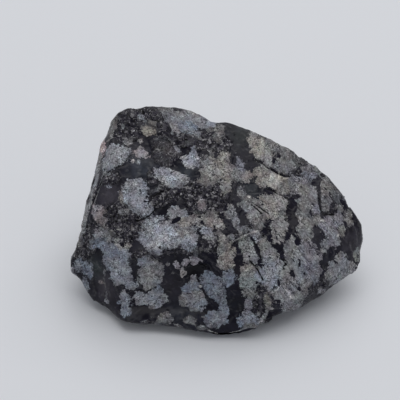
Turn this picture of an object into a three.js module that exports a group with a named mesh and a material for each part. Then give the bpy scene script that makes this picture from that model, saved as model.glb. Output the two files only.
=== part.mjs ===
// A hand-sized lump of snowflake obsidian, left rough as it broke from the block.
//
// Units are millimetres, +Z is up, +X runs along the lump's length and +Y away from its front.
// The origin is on the surface it stands on, under the middle of its outline.
//
// The lump is one solid. Every ray from its heart leaves it once, so its surface is worked out ray by ray:
// a block with flat broken faces, less the round bowls that flakes leave in volcanic glass.
import * as THREE from "three";
import { ConvexHull } from "three/addons/math/ConvexHull.js";
import { ImprovedNoise } from "three/addons/math/ImprovedNoise.js";
import { mergeVertices } from "three/addons/utils/BufferGeometryUtils.js";

const xyz = (x, y, z) => new THREE.Vector3(x, y, z);

// A point well inside, above the flat spot.
const HEART = xyz(0, 0, 16);

// Corners of the block before the last flakes sprang off it.
const CORNERS = [
  // the flat spot it rests on
  xyz(-17, -13, 0), xyz(-4, -16, 0), xyz(10, -14, 0), xyz(16, 0, 0),
  xyz(8, 11, 0), xyz(-12, 11, 0), xyz(-20, 0, 0),
  // the lower edge, from the left tip along the front to the right end
  xyz(-34.8, -6.5, 9), xyz(-31.4, -10.4, 4.5), xyz(-28.2, -13.3, 2.5), xyz(-20, -18.7, 1.5),
  xyz(-10, -19, 1.5), xyz(1, -21.5, 0.8), xyz(10.2, -19.7, 1.5), xyz(16, -16, 3),
  xyz(24, -13, 6), xyz(33, -8.5, 8), xyz(35, -1, 12), xyz(34.2, 0.8, 14.8),
  // the crown at the back left, and the crest that falls from it to the right end
  xyz(-24.3, 16, 36), xyz(-22.1, 15.5, 38), xyz(-16.5, 15.5, 39.8), xyz(-10, 15.8, 39.3),
  xyz(-4.5, 15.8, 37.6), xyz(3, 14.5, 35.2), xyz(11, 13, 32), xyz(20.5, 11, 27.3),
  xyz(26.6, 8, 23.2), xyz(32, 3, 16.8),
  // the left side, and the ridge between it and the upper slope
  xyz(-27.2, 12.5, 30), xyz(-28.6, 9.5, 26), xyz(-29.8, 5.5, 20),
  xyz(-24.2, 8.5, 34), xyz(-26.4, 4.5, 29),
  // the shoulder of the front, between the upper slope and the steep lower face
  xyz(-32.3, -4.5, 14), xyz(-28.5, -7.5, 17.3), xyz(-20, -13, 19.7), xyz(-6, -15.5, 20.5),
  // the right half of the front, which rolls over with no shoulder
  xyz(9, -9, 23.6), xyz(10, -14, 19.6), xyz(10.5, -17, 15.2), xyz(12, -19, 8),
  xyz(23, -8, 18.3), xyz(23.5, -11.6, 14.9), xyz(24.5, -13.5, 10.5),
  // the back
  xyz(-30.5, 8, 10), xyz(-29, 17, 21), xyz(-18, 23, 14), xyz(2, 23, 12), xyz(18, 18, 11), xyz(28, 10, 12),
];

// Bowls left where flakes sprang off: the point of the block over the middle, the depth and the radius.
const SCARS = [
  // the steep front: the hollow under the shoulder, and its neighbours left and right
  { over: xyz(-9.5, -17, 10.5), depth: 3.2, radius: 34 },
  { over: xyz(-29, -10, 9), depth: 0.5, radius: 30 },
  { over: xyz(9, -19.5, 4), depth: 0.8, radius: 24 },
  { over: xyz(13.5, -17.6, 2.3), depth: 2.3, radius: 6 },
  // the crown: its dark front, the pale face beside it, and the notch where that meets the crest
  { over: xyz(-18, 12, 36.5), depth: 1.0, radius: 28 },
  { over: xyz(-3, 13, 35), depth: 0.8, radius: 36 },
  { over: xyz(-1, 16.5, 35.7), depth: 1.0, radius: 6 },
  // the upper slope
  { over: xyz(13, 3, 26), depth: 0.3, radius: 26 },
  { over: xyz(-22, -3, 25), depth: 0.6, radius: 40 },
  { over: xyz(-10, 2, 29), depth: 0.6, radius: 45 },
  // the left side and the back
  { over: xyz(-31.5, 0, 15), depth: 1.0, radius: 22 },
  { over: xyz(-29, 10, 24), depth: 0.8, radius: 30 },
  { over: xyz(-22, 20, 25), depth: 2.2, radius: 34 },
  { over: xyz(-2, 22, 22), depth: 2.6, radius: 26 },
  { over: xyz(19, 15, 19), depth: 1.8, radius: 30 },
  { over: xyz(-16, 18, 6), depth: 1.6, radius: 20 },
  { over: xyz(8, 18, 6), depth: 1.8, radius: 24 },
  { over: xyz(-27, 2, 5), depth: 1.4, radius: 20 },
  // under the right end
  { over: xyz(26, -6, 6), depth: 1.0, radius: 28 },
  { over: xyz(27, 6, 7), depth: 1.2, radius: 20 },
];

// Ridges and rims wander off their true lines by up to about this much, over waves of this length.
const WANDER = 0.9;
const WANDER_LENGTH = 15;

// Swells of the broken faces: the length and the height of each wave.
const SWELLS = [
  { length: 13, height: 0.7 },
  { length: 5, height: 0.35 },
];
const CALM_ABOVE_BASE = 4; // the swells die out over this height, so that the flat spot stays flat

const FINENESS = 21; // cuts along each edge of the ball that the mesh starts from
const EVENING_PASSES = 10;
const SHARP_BEND = 0.14; // radians between two faces that make a ridge worth following
const RIDGE_HALVINGS = 12;

// A flat face of the block: how far a ray from the heart goes before it meets it, and which way it looks.
function flatFace({ normal, constant }) {
  return {
    normal,
    reach: (ray) => (normal.dot(ray) > 1e-6 ? constant / normal.dot(ray) : Infinity),
    outward: () => normal,
  };
}

// A bowl is empty, so a ray ends where it breaks into it.
function bowl(centre, radius) {
  const reach = (ray) => {
    const along = centre.dot(ray);
    const square = along * along - centre.lengthSq() + radius * radius;
    return along > 0 && square > 0 ? along - Math.sqrt(square) : Infinity;
  };
  return { reach, outward: (ray) => centre.clone().addScaledVector(ray, -reach(ray)).normalize() };
}

const block = new ConvexHull().setFromPoints(CORNERS.map((corner) => corner.clone().sub(HEART)));
const base = flatFace({ normal: xyz(0, 0, -1), constant: HEART.z });
const faces = block.faces.filter(({ normal }) => normal.z > -0.999).map(flatFace);

const bowls = SCARS.map(({ over, depth, radius }) => {
  const ray = over.clone().sub(HEART).normalize();
  const [face] = faces.toSorted((a, b) => a.reach(ray) - b.reach(ray));
  const centre = ray.clone().multiplyScalar(face.reach(ray)).addScaledVector(face.normal, radius - depth);
  return bowl(centre, radius);
});

const halfSize = new THREE.Box3().setFromPoints(CORNERS).getSize(xyz(0, 0, 0)).divideScalar(2);
const waves = new ImprovedNoise();

// The ray turned a little by slow waves, so that what is cut along it comes out of true.
function wandering(ray) {
  const place = ray.clone().multiply(halfSize);
  const { x, y, z } = place.clone().divideScalar(WANDER_LENGTH);
  const shift = xyz(waves.noise(x, y, z + 11), waves.noise(x + 23, y, z), waves.noise(x, y + 31, z));
  return place.addScaledVector(shift, WANDER).divide(halfSize).normalize();
}

// The face or bowl that the ray meets first, and how far out. Only the flat base stays true.
function firstCut(ray) {
  const bent = wandering(ray);
  let first = { cut: base, distance: base.reach(ray), along: ray };
  for (const cut of [...faces, ...bowls]) {
    const distance = cut.reach(bent);
    if (distance < first.distance) first = { cut, distance, along: bent };
  }
  return first;
}

const surfacePoint = (ray) => ray.clone().multiplyScalar(firstCut(ray).distance);

// The mesh starts as an even ball of rays, stretched to the lump's proportions.
const ball = new THREE.IcosahedronGeometry(1, FINENESS);
ball.deleteAttribute("normal");
ball.deleteAttribute("uv");
const skin = mergeVertices(ball);
const position = skin.getAttribute("position");
const vertexNumbers = Array.from({ length: position.count }, (_, i) => i);

const neighbours = vertexNumbers.map(() => new Set());
for (let i = 0; i < skin.index.count; i += 3) {
  const [a, b, c] = [0, 1, 2].map((corner) => skin.index.getX(i + corner));
  neighbours[a].add(b).add(c);
  neighbours[b].add(a).add(c);
  neighbours[c].add(a).add(b);
}

let points = vertexNumbers.map((i) => {
  const ray = xyz(0, 0, 0).fromBufferAttribute(position, i).multiply(halfSize).normalize();
  return surfacePoint(ray);
});

// Even out the triangles: each vertex moves to the middle of its neighbours, then back onto the surface.
for (let pass = 0; pass < EVENING_PASSES; pass++) {
  points = points.map((point, i) => {
    const middle = xyz(0, 0, 0);
    for (const j of neighbours[i]) middle.add(points[j]);
    return surfacePoint(middle.normalize());
  });
}

// Where the edge from point a to point b crosses a ridge, or null where it crosses none worth following.
function ridgeCrossing(a, b) {
  const from = a.clone().normalize();
  const to = b.clone().normalize();
  const [first, second] = [firstCut(from), firstCut(to)];
  if (first.cut === second.cut) return null;
  const bend = first.cut.outward(first.along).angleTo(second.cut.outward(second.along));
  if (bend < SHARP_BEND) return null;
  let [low, high] = [0, 1];
  for (let halving = 0; halving < RIDGE_HALVINGS; halving++) {
    const middle = (low + high) / 2;
    const ray = from.clone().lerp(to, middle).normalize();
    if (firstCut(ray).cut === first.cut) low = middle;
    else high = middle;
  }
  return { share: low, ray: from.clone().lerp(to, low).normalize() };
}

// Pull vertices onto the ridges: of each edge that crosses one, the nearer end moves to the crossing.
const crossings = [];
for (const i of vertexNumbers) {
  for (const j of neighbours[i]) {
    const crossing = i < j ? ridgeCrossing(points[i], points[j]) : null;
    if (crossing) crossings.push({ i, j, ...crossing });
  }
}
crossings.sort((a, b) => Math.min(a.share, 1 - a.share) - Math.min(b.share, 1 - b.share));
const onRidge = new Set();
for (const { i, j, share, ray } of crossings) {
  if (onRidge.has(i) || onRidge.has(j)) continue;
  const moved = share < 0.5 ? i : j;
  points[moved] = surfacePoint(ray);
  onRidge.add(moved);
}

// How far the surface swells out at a point.
function swell({ x, y, z }) {
  const calm = THREE.MathUtils.smoothstep(z + HEART.z, 0, CALM_ABOVE_BASE);
  const height = SWELLS.reduce(
    (sum, wave) => sum + wave.height * waves.noise(x / wave.length + 7, y / wave.length + 3, z / wave.length),
    0,
  );
  return calm * height;
}

points.forEach((point, i) => {
  const { x, y, z } = point.clone().addScaledVector(point.clone().normalize(), swell(point));
  position.setXYZ(i, x, y, z);
});

// Stand it on the origin, with the middle of its outline over it.
skin.computeBoundingBox();
const middle = skin.boundingBox.getCenter(xyz(0, 0, 0));
skin.translate(-middle.x, -middle.y, -skin.boundingBox.min.z);
skin.computeVertexNormals();

const glass = new THREE.MeshStandardMaterial({ color: 0x3a3c42, roughness: 0.4, metalness: 0 });
const lump = new THREE.Mesh(skin, glass);
lump.name = "obsidian_lump";

export default new THREE.Group().add(lump);
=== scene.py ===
# %% [markdown]
# # A snowflake obsidian specimen
#
# The piece is a broken lump of black volcanic glass, about 69 mm long. While the glass cooled, pale
# crystals of cristobalite grew in it as little radiating balls, and wherever a break cuts through one
# of them it shows as a grey snowflake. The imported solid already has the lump's form, so this script
# gives it the broken skin and the stone's two finishes, dark glass and matt crystal. Blender counts
# in metres here. Lengths are thought out in millimetres, and MM turns them into metres.

import math

import bmesh
import bpy
import numpy as np
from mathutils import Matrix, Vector, noise
from mathutils.bvhtree import BVHTree


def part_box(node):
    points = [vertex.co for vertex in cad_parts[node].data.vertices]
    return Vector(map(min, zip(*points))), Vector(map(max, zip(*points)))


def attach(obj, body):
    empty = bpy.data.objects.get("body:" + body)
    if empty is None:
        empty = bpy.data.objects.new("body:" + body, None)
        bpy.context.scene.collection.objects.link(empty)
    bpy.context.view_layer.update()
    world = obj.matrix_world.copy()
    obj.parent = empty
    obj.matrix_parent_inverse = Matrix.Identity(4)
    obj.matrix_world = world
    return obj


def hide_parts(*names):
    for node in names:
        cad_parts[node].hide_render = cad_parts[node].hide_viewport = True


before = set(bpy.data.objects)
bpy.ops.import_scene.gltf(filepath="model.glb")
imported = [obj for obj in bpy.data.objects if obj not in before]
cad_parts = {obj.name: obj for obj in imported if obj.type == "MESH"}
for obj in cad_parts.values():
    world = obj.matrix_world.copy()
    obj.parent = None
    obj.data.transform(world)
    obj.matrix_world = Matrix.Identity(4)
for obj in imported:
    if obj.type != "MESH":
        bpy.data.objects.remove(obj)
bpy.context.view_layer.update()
MM = 0.001
stone_low, stone_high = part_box("obsidian_lump")
print("solid, mm:", [round(side / MM, 2) for side in stone_high - stone_low])

# %% [markdown]
# ## The camera
#
# The lump is seen from its front and well from above, with a long lens that keeps it free from
# distortion. Three unit vectors describe the view: to the right, up in the view and back towards the
# camera. They are kept, because most marks on the stone are placed later by how far right and how far
# up they lie from the point that the camera aims at. A Track To constraint would aim the camera as
# well as its tilt does, but would not give those vectors.

# %% Camera
ELEVATION = math.radians(40)
FOCAL_LENGTH = 115
NEAREST_SEEN = 0.01
# in millimetres
CAMERA_DISTANCE = 300
AIM_OFFSET = Vector((-4.28, 3.34, 0.28))

RIGHT = Vector((1, 0, 0))
UP = Vector((0, math.sin(ELEVATION), math.cos(ELEVATION)))
BACK = Vector((0, -math.cos(ELEVATION), math.sin(ELEVATION)))
AIM = (stone_low + stone_high) / 2 + AIM_OFFSET * MM
EYE = AIM + BACK * CAMERA_DISTANCE * MM


def put_in_scene(name, data):
    """A new object that holds the data, linked to the scene."""
    thing = bpy.data.objects.new(name, data)
    bpy.context.scene.collection.objects.link(thing)
    return thing


lens = bpy.data.cameras.new("camera")
lens.lens = FOCAL_LENGTH
lens.clip_start = NEAREST_SEEN
camera = put_in_scene("camera", lens)
camera.location = EYE
camera.rotation_euler = (math.pi / 2 - ELEVATION, 0, 0)
bpy.context.scene.camera = camera
print("camera at, m:", [round(value, 3) for value in EYE])

# %% [markdown]
# ## The floor
#
# A stone like this is shown on a plain pale sheet. One big face is enough, because its edges lie far
# outside the view. It lies 0.02 mm below the stone, so that the two don't share a plane. A sheet that
# curves up at the back would look the same from this high up, and would only add faces.

# %% Floor
FLOOR_HALF_SIDE = 1.5
FLOOR_DROP = 0.02 * MM
PAPER_COLOUR = (0.765, 0.785, 0.83, 1)


def add_node(tree, kind, sockets=None, **settings):
    """A new shader node, with its settings, and with each named socket set to a value or linked."""
    node = tree.nodes.new(kind)
    for name, value in settings.items():
        setattr(node, name, value)
    for name, value in (sockets or {}).items():
        if isinstance(value, bpy.types.NodeSocket):
            tree.links.new(value, node.inputs[name])
        else:
            node.inputs[name].default_value = value
    return node


def new_material(name):
    """An empty node material and its output node."""
    material = bpy.data.materials.new(name)
    material.use_nodes = True
    material.node_tree.nodes.clear()
    return material, material.node_tree.nodes.new("ShaderNodeOutputMaterial")


sheet = bmesh.new()
bmesh.ops.create_grid(sheet, x_segments=1, y_segments=1, size=FLOOR_HALF_SIDE)
bmesh.ops.translate(sheet, verts=sheet.verts, vec=(0, 0, -FLOOR_DROP))
floor_mesh = bpy.data.meshes.new("pale_sheet")
sheet.to_mesh(floor_mesh)
sheet.free()
floor = put_in_scene("pale_sheet", floor_mesh)
paper, paper_output = new_material("pale paper")
paper_shader = add_node(
    paper.node_tree,
    "ShaderNodeBsdfPrincipled",
    {"Base Color": PAPER_COLOUR, "Roughness": 0.9, "Specular IOR Level": 0.1},
)
paper.node_tree.links.new(paper_shader.outputs["BSDF"], paper_output.inputs["Surface"])
floor_mesh.materials.append(paper)
print("floor is", 2 * FLOOR_HALF_SIDE, "m wide")

# %% [markdown]
# ## The light
#
# The light comes from two places: a pale surrounding that reaches every side, and one large soft lamp
# behind the stone and a little to its right, which leaves a soft shadow in front. A small lamp would
# put hard white spots on the glass. The Standard view keeps the greys as they are, where the filmic
# one would flatten them.

# %% Light
SURROUND_STRENGTH = 0.375
SURROUND_COLOUR = (0.97, 0.98, 1.0, 1)
LAMP_POWER = 26.5
LAMP_SIDE = 2.4
LAMP_COLOUR = (1.0, 0.99, 0.97)
LAMP_PLACE = Vector((0.22, 0.60, 1.78))

surround = bpy.data.worlds.new("pale surround")
surround.use_nodes = True
background = surround.node_tree.nodes["Background"].inputs
background["Color"].default_value = SURROUND_COLOUR
background["Strength"].default_value = SURROUND_STRENGTH
bpy.context.scene.world = surround

lamp_data = bpy.data.lights.new("soft lamp", "AREA")
lamp_data.energy = LAMP_POWER
lamp_data.size = LAMP_SIDE
lamp_data.color = LAMP_COLOUR
lamp = put_in_scene("soft lamp", lamp_data)
lamp.location = LAMP_PLACE
lamp.rotation_euler = (AIM - LAMP_PLACE).to_track_quat("-Z", "Y").to_euler()
bpy.context.scene.view_settings.view_transform = "Standard"
print("lamp is", round((LAMP_PLACE - AIM).length, 2), "m away")

# %% [markdown]
# ## The lump's skin
#
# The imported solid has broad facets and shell-shaped hollows, but its triangles are more than a
# millimetre wide, too coarse for the grain of a break. A copy of its mesh is welded, smoothed very
# slightly so that the edges between facets lose their steps, and cut finer twice. Sculpting by hand
# would look as good, but could not be repeated. The flat spot underneath is left exactly flat, so
# the stone still stands on it.

# %% A finer copy of the lump
WELD_DISTANCE = 0.001 * MM
REFINEMENTS = 2
SMOOTHING = 0.35
FLAT_SPOT_HEIGHT = 0.05 * MM


def smooth_above_base(skin, amount):
    """Relaxes every vertex that isn't on the flat spot."""
    free = [v for v in skin.verts if v.co.z > FLAT_SPOT_HEIGHT]
    bmesh.ops.smooth_vert(
        skin, verts=free, factor=amount, use_axis_x=True, use_axis_y=True, use_axis_z=True
    )


skin = bmesh.new()
skin.from_mesh(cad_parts["obsidian_lump"].data)
bmesh.ops.remove_doubles(skin, verts=skin.verts, dist=WELD_DISTANCE)
for _ in range(REFINEMENTS):
    smooth_above_base(skin, SMOOTHING)
    bmesh.ops.subdivide_edges(skin, edges=skin.edges, cuts=1, use_grid_fill=True)
bmesh.ops.triangulate(skin, faces=skin.faces)
skin.normal_update()
tree = BVHTree.FromBMesh(skin)
places = np.array([v.co for v in skin.verts]) / MM
outward = np.array([v.normal for v in skin.verts])
print(len(skin.verts), "vertices,", len(skin.faces), "triangles")

# %% [markdown]
# ## Placing a mark
#
# Marks are named by two lengths in millimetres, right and up from the aim as the camera sees them. A
# straight line from the camera through that place meets the skin at the mark. Typing three
# coordinates for each mark would be slower, and half of them would miss the surface.

# %% From two lengths to a place on the stone
right_axis = np.array(RIGHT)
up_axis = np.array(UP)
back_axis = np.array(BACK)


def mark(right, up):
    """The place on the skin and the direction it faces, for a mark seen at right and up."""
    target = AIM + RIGHT * right * MM + UP * up * MM
    place, facing, _, _ = tree.ray_cast(EYE, (target - EYE).normalized())
    if place is None:
        place, facing, _, _ = tree.find_nearest(target)
    return np.array(place) / MM, np.array(facing)


print("the aim meets the stone at, mm:", mark(0, 0)[0].round(1))

# %% [markdown]
# ## Rough and smooth places
#
# Obsidian breaks in two ways. Where the glass is clean it splits in smooth curves like the inside of
# a shell. Where it is full of fine crystals it tears, and is left granular. Each torn zone is an
# ellipse with a soft margin, and their strongest value at each vertex is kept for the relief below
# and, as an attribute, for the material. Painting the zones as vertex colours would do too, but a
# list of ellipses is quicker to move about.

# %% How deep a place is inside an ellipse
# how far an ellipse reaches into the stone: a length in millimetres, and a share of its own size
LEAST_HALF_DEPTH = 0.4
HALF_DEPTH_SHARE = 0.9


def smooth_step(values, low, high):
    """0 below low, 1 above high, and an even S between them."""
    share = np.clip((values - low) / (high - low), 0, 1)
    return share * share * (3 - 2 * share)


def ellipse_depth(points, place, facing, wide, high, turn, sides=(right_axis, up_axis)):
    """How far inside an ellipsoid each point is: 1 at its middle, 0 at its rim; and its bearing."""
    away = points - place
    turned = math.radians(turn)
    along = away @ (sides[0] * math.cos(turned) + sides[1] * math.sin(turned)) / wide
    across = away @ (sides[1] * math.cos(turned) - sides[0] * math.sin(turned)) / high
    off = away @ facing / (LEAST_HALF_DEPTH + HALF_DEPTH_SHARE * math.sqrt(wide * high))
    return 1 - np.sqrt(along**2 + across**2 + off**2), np.arctan2(across, along)


aim_place, aim_facing = mark(0, 0)
middle_depth, _ = ellipse_depth(aim_place[None, :], aim_place, aim_facing, 2, 1, 0)
print("depth at an ellipse's own middle:", float(middle_depth[0]))

# %% Torn zones
# right, up, half width, half height, turn in degrees, strength
TORN_ZONES = [
    (-13.5, 18.5, 6, 3, -10, 1), (-8, 12, 3.2, 4, 0, 0.9), (-1, 14, 5, 2.2, 0, 0.9),
    (-19, -5.5, 6, 4.4, 0, 1), (1.5, 0.8, 4.8, 4.3, 0, 1), (-7.5, 1.2, 4.6, 2, 32, 0.9),
    (14.6, -24, 2, 4, 0, 0.8), (-5, -11.8, 5.2, 1.3, 0, 0.8), (-21, 5.2, 2.2, 1.8, 0, 0.8),
    (-12.5, -13, 4, 1.4, 0, 0.9), (-26.5, -9.5, 2.6, 3.6, 0, 1), (-10.8, 5.6, 1.6, 1.8, 0, 0.8),
    (3.2, -10.8, 3.4, 1.8, 0, 0.6), (13, -7.6, 2.4, 1.1, -30, 0.7), (8.6, -8.6, 2.6, 1.2, 20, 0.7),
    (4.5, 13.2, 3, 2, 0, 0.8), (23, 8, 3.2, 2.2, -30, 0.7), (30.4, -1.4, 2.2, 2.6, 0, 0.5),
    (-27.6, -12.4, 2.4, 1.8, 0, 0.6), (20.5, 3.2, 2, 3, 0, 0.7), (28.5, -19.8, 3, 1.8, 20, 0.5),
    (-17.2, 15.2, 2.8, 1.8, 0, 0.8),
]
# a zone is drawn a little wider than its numbers say, and is at full strength this deep inside
ZONE_SPREAD = 1.25
ZONE_MARGIN = 0.35


def zone_strength(zones):
    """The strongest of several soft ellipses at each vertex, and 0 outside them all."""
    strongest = np.zeros(len(places))
    for right, up, wide, high, turn, strength in zones:
        spot = mark(right, up)
        inside, _ = ellipse_depth(places, *spot, wide * ZONE_SPREAD, high * ZONE_SPREAD, turn)
        strongest = np.maximum(strongest, strength * smooth_step(inside, 0.0, ZONE_MARGIN))
    return strongest


torn = zone_strength(TORN_ZONES)
print(len(TORN_ZONES), "torn zones")

# %% [markdown]
# ## Calm zones
#
# Along the lower front, and here and there above it, the stone is cleaner: the crystal is smooth and
# its rims are round. These places are a second list of the same ellipses. They leave the mesh alone,
# and the material reads them to fray the rims and mottle the grain less. One list with negative
# strengths would be shorter, but a torn place can still have calm crystal in it.

# %% Calm zones
CALM_ZONES = [
    (-2, -22.5, 11, 8, 0, 1), (-15.5, -21, 9, 7, 0, 0.8), (-21.5, -13, 3.5, 5, 20, 0.7),
    (25, -13.5, 4, 5, 0, 0.8), (24.5, -4, 2.2, 7, 0, 0.7), (17.5, 5, 3.6, 2, -10, 0.9),
    (-3, 17.8, 4, 2, -10, 0.5), (22.5, -23.4, 2.2, 2, 0, 0.9), (11, -17.5, 2, 2.5, 0, 0.7),
]
calm = zone_strength(CALM_ZONES)
print(len(CALM_ZONES), "calm zones")

# %% [markdown]
# ## Torn places on the unseen sides
#
# The camera doesn't see the back and the underside, so there is nothing to place one by one. Broad noise
# deals out the torn places there instead. More ellipses would do too, but leaving the back smooth
# would make it look like another stone.

# %% Torn places on the unseen sides
# a vertex counts as seen if the cosine between its normal and the view is above this
SEEN_ABOVE = 0.08
TORN_PATCH_LENGTH = 9.0
TORN_PATCH_SHIFT = Vector((3, 8, 1))
TORN_PATCH_MARGIN = (0.05, 0.3)

hidden = outward @ back_axis < SEEN_ABOVE
patchy = np.array([noise.noise(Vector(place) / TORN_PATCH_LENGTH + TORN_PATCH_SHIFT) for place in places])
torn = np.where(hidden, np.maximum(torn, smooth_step(patchy, *TORN_PATCH_MARGIN)), torn)
print("torn share:", round(float(torn.mean()), 3), " hidden share:", round(float(hidden.mean()), 3))

# %% [markdown]
# ## Cracks and ledges
#
# A few fine cracks and stepped ledges run over the stone where flakes of glass nearly came away. Each
# is a line through a handful of marks. The skin dips along it, and the distance to the line is kept,
# so the material can paint the shade inside the crack as a near-black line, more finely than the
# mesh is cut. Cutting real slits with a boolean would be sharper, but it would tear up the even mesh.

# %% Crack lines
# half width of the dip, depth, and the marks the line passes, all in millimetres
CRACKS = [
    (0.35, 0.30, [(13, 9.5), (14.5, 8.8), (16, 7.5), (17, 7), (18, 6.3), (19.5, 5.8), (21, 5.7)]),
    (0.35, 0.25, [(15.7, 2.6), (17, 2.3), (18.5, 1.5), (20, 0.6)]),
    (0.30, 0.30, [(-11.3, 0.9), (-10, 1.2), (-8.7, 2.1)]),
    (0.40, 0.35, [(-14.9, -4.8), (-13.6, -4.5), (-12.6, -4), (-11.6, -3.4), (-10.6, -2.4)]),
    (0.30, 0.25, [(-15.4, -20.6), (-14.4, -21.3), (-13.4, -21.3), (-12.2, -21.6), (-11.1, -20.9)]),
    (0.30, 0.30, [(11.6, -14.2), (12.6, -15.2), (13.5, -16.4), (14.2, -17.6), (14.8, -18.8)]),
    (0.30, 0.25, [(27.5, 2), (28.2, 0.2), (28.3, -2), (29, -3.2), (31.5, -3.4)]),
    (0.30, 0.25, [(19, -13.9), (20.1, -14.2), (20.3, -15.1), (19.5, -15.7), (19.8, -16.2)]),
    (0.30, 0.25, [(12.6, -9.6), (13.2, -11), (14, -12.6), (14.3, -13.8)]),
    (0.25, 0.20, [(12.2, -1.2), (13.2, -2), (14.5, -3.2)]),
    (0.25, 0.20, [(13.2, -1.2), (14.6, -2.2), (16, -3.2)]),
    (0.30, 0.20, [(0.6, -21), (1, -22.2), (1.5, -23.4)]),
    (0.30, 0.25, [(-16, 11.2), (-18, 8.2), (-20, 7.6), (-22.4, 6), (-23.6, 3.2), (-25, -0.4)]),
]
NO_CRACK_NEAR = 9.0


def distance_to_line(points, line):
    """How far each point lies from a line through several places."""
    nearest = np.full(len(points), np.inf)
    for start, end in zip(line[:-1], line[1:]):
        along = end - start
        share = np.clip((points - start) @ along / (along @ along), 0, 1)
        gap = np.linalg.norm(points - start - share[:, None] * along, axis=1)
        nearest = np.minimum(nearest, gap)
    return nearest


def distance_to_marks(marks):
    """How far each vertex lies from a line through several marks."""
    return distance_to_line(places, np.array([mark(*spot)[0] for spot in marks]))


crack_gap = np.full(len(places), NO_CRACK_NEAR)
dip = np.zeros(len(places))
for half_width, depth, marks in CRACKS:
    gap = distance_to_marks(marks)
    crack_gap = np.minimum(crack_gap, gap)
    dip = np.maximum(dip, depth * np.exp(-((gap / half_width) ** 2)))
print(len(CRACKS), "cracks, deepest dip", round(float(dip.max()), 2), "mm")

# %% [markdown]
# ## The relief of the break
#
# Four kinds of relief are laid over each other: slow swells that every break has, small flat chips
# that meet in sharp edges, little crests in the torn zones, and the cracks' dips. They are added to
# the mesh itself, because relief that lives only in a material vanishes at the outline. Where the
# skin is seen edge on, the torn relief is held back, so that the outline doesn't bristle.

# %% Noise for a broken face
SECOND_CREST_SCALE = 2.1
SECOND_CREST_SHIFT = Vector((5, 2, 7))
CHIP_SEED = 7.3


def slow_noise(point, length, shift):
    """Smooth noise between about -1 and 1 whose waves are about length millimetres long."""
    return noise.noise(Vector(point) / length + Vector((shift, shift, shift)))


def crests(point, length):
    """Folded noise, 0 in the valleys and 1 on sharp crests."""
    fine = 1 - abs(noise.noise(Vector(point) / length)) * 2
    finer = 1 - abs(noise.noise(Vector(point) / length * SECOND_CREST_SCALE + SECOND_CREST_SHIFT)) * 2
    return 0.65 * fine + 0.35 * finer


def chips(point, size):
    """Small planes, each tilted its own way, that meet in edges; in millimetres times the tilt."""
    place = Vector(point) / size
    centre = noise.voronoi(place)[1][0]
    tilt = noise.cell_vector(centre * CHIP_SEED) * 2 - Vector((1, 1, 1))
    return tilt.dot(place - centre) * size


print("crests at the aim:", round(crests(aim_place, 1.5), 2))

# %% Relief
# heights and lengths in millimetres; a chip's tilt is a slope
SWELL_HEIGHT = 0.16
SWELL_LENGTHS = (4.2, 1.9)
CREST_HEIGHT = 0.34
CREST_LENGTH = 1.5
CREST_MIDDLE = 0.6
CHIP_TILT = 0.30
CHIP_SIZE = 1.7
BIG_CHIP_SCALE = 2.3
BIG_CHIP_SHIFT = 40.0
STANDS_PROUD = 0.08
# shares of the swells and of the chips that clean glass keeps
CLEAN_SWELL = 0.35
CLEAN_CHIP = 0.25
# cosines between which the skin turns from edge on to facing the camera, and what is lost edge on
EDGE_ON = (0.1, 0.4)
EDGE_ON_LOSS = 0.6

long_swell, short_swell = SWELL_LENGTHS
swell = np.array([slow_noise(p, long_swell, 4.0) + 0.5 * slow_noise(p, short_swell, 9.0) for p in places])
crest = np.array([crests(p, CREST_LENGTH) for p in places])
chip = np.array(
    [chips(p, CHIP_SIZE) + 0.5 * chips(p + BIG_CHIP_SHIFT, CHIP_SIZE * BIG_CHIP_SCALE) for p in places]
)
edge_on = 1 - smooth_step(np.abs(outward @ back_axis), *EDGE_ON)
rough = torn * (1 - EDGE_ON_LOSS * edge_on)
relief = SWELL_HEIGHT * swell * (CLEAN_SWELL + (1 - CLEAN_SWELL) * rough)
relief += CREST_HEIGHT * (crest - CREST_MIDDLE) * rough
relief += CHIP_TILT * chip * (CLEAN_CHIP + (1 - CLEAN_CHIP) * rough) + STANDS_PROUD - dip
print("relief of the break, mm:", round(float(relief.min()), 2), "to", round(float(relief.max()), 2))

# %% [markdown]
# ## Bulges and nicks
#
# At a few places the rim of the real stone bulges or is nicked by up to a millimetre and a half, too
# little for the solid. Each is a soft push in or out around a mark. The last two press the hollow of
# the front in a little. The sculpt brushes do the same by hand, but a list can be corrected one
# number at a time.

# %% Bulges and nicks
# right, up, reach, and how far the skin is pressed out there, in millimetres
NUDGES = [
    (-18, 21.6, 3, 0.45), (-23, 12, 2, 0.35), (-25.2, 8, 3.2, 0.70), (-22.2, 15.6, 1.8, -0.50),
    (-12.5, 22.2, 2.5, 0.45), (-26.9, 0.6, 2.8, -1.00), (-26.2, 0.4, 1.1, -0.45), (-30.2, -16.2, 2.4, 0.70),
    (-3.5, 20.6, 2.5, 0.40), (5.5, 18.4, 3, 0.55), (10.5, 17.4, 3, 0.45), (16, 14.5, 3, 0.25),
    (26.4, 8.2, 2.4, 0.65), (30, 5.4, 2.5, 0.65), (33.2, 1.8, 2, 0.60), (21.4, 11.4, 3, 0.75),
    (36.4, -2.4, 2.4, 0.30), (36.2, -17.2, 2.6, -0.55), (32.6, -20, 3, -0.60), (-21.5, -26.5, 2.4, -1.00),
    (-16, -28.6, 3, 0.50), (-10.5, -29.4, 2.5, 0.35), (14.5, -29.8, 2.6, 1.50), (-15.6, -29.2, 1.4, 0.60),
    (16, -28, 1.8, 1.20), (2.5, -31.6, 1.6, 0.35), (1.3, 18.9, 1.6, 0.60), (-0.8, -16.2, 2.4, -1.10),
    (-5, -13.4, 1.6, -0.60),
]
# all relief fades out between these heights, so that the base stays flat
RELIEF_STARTS = (0.05, 0.6)


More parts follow.
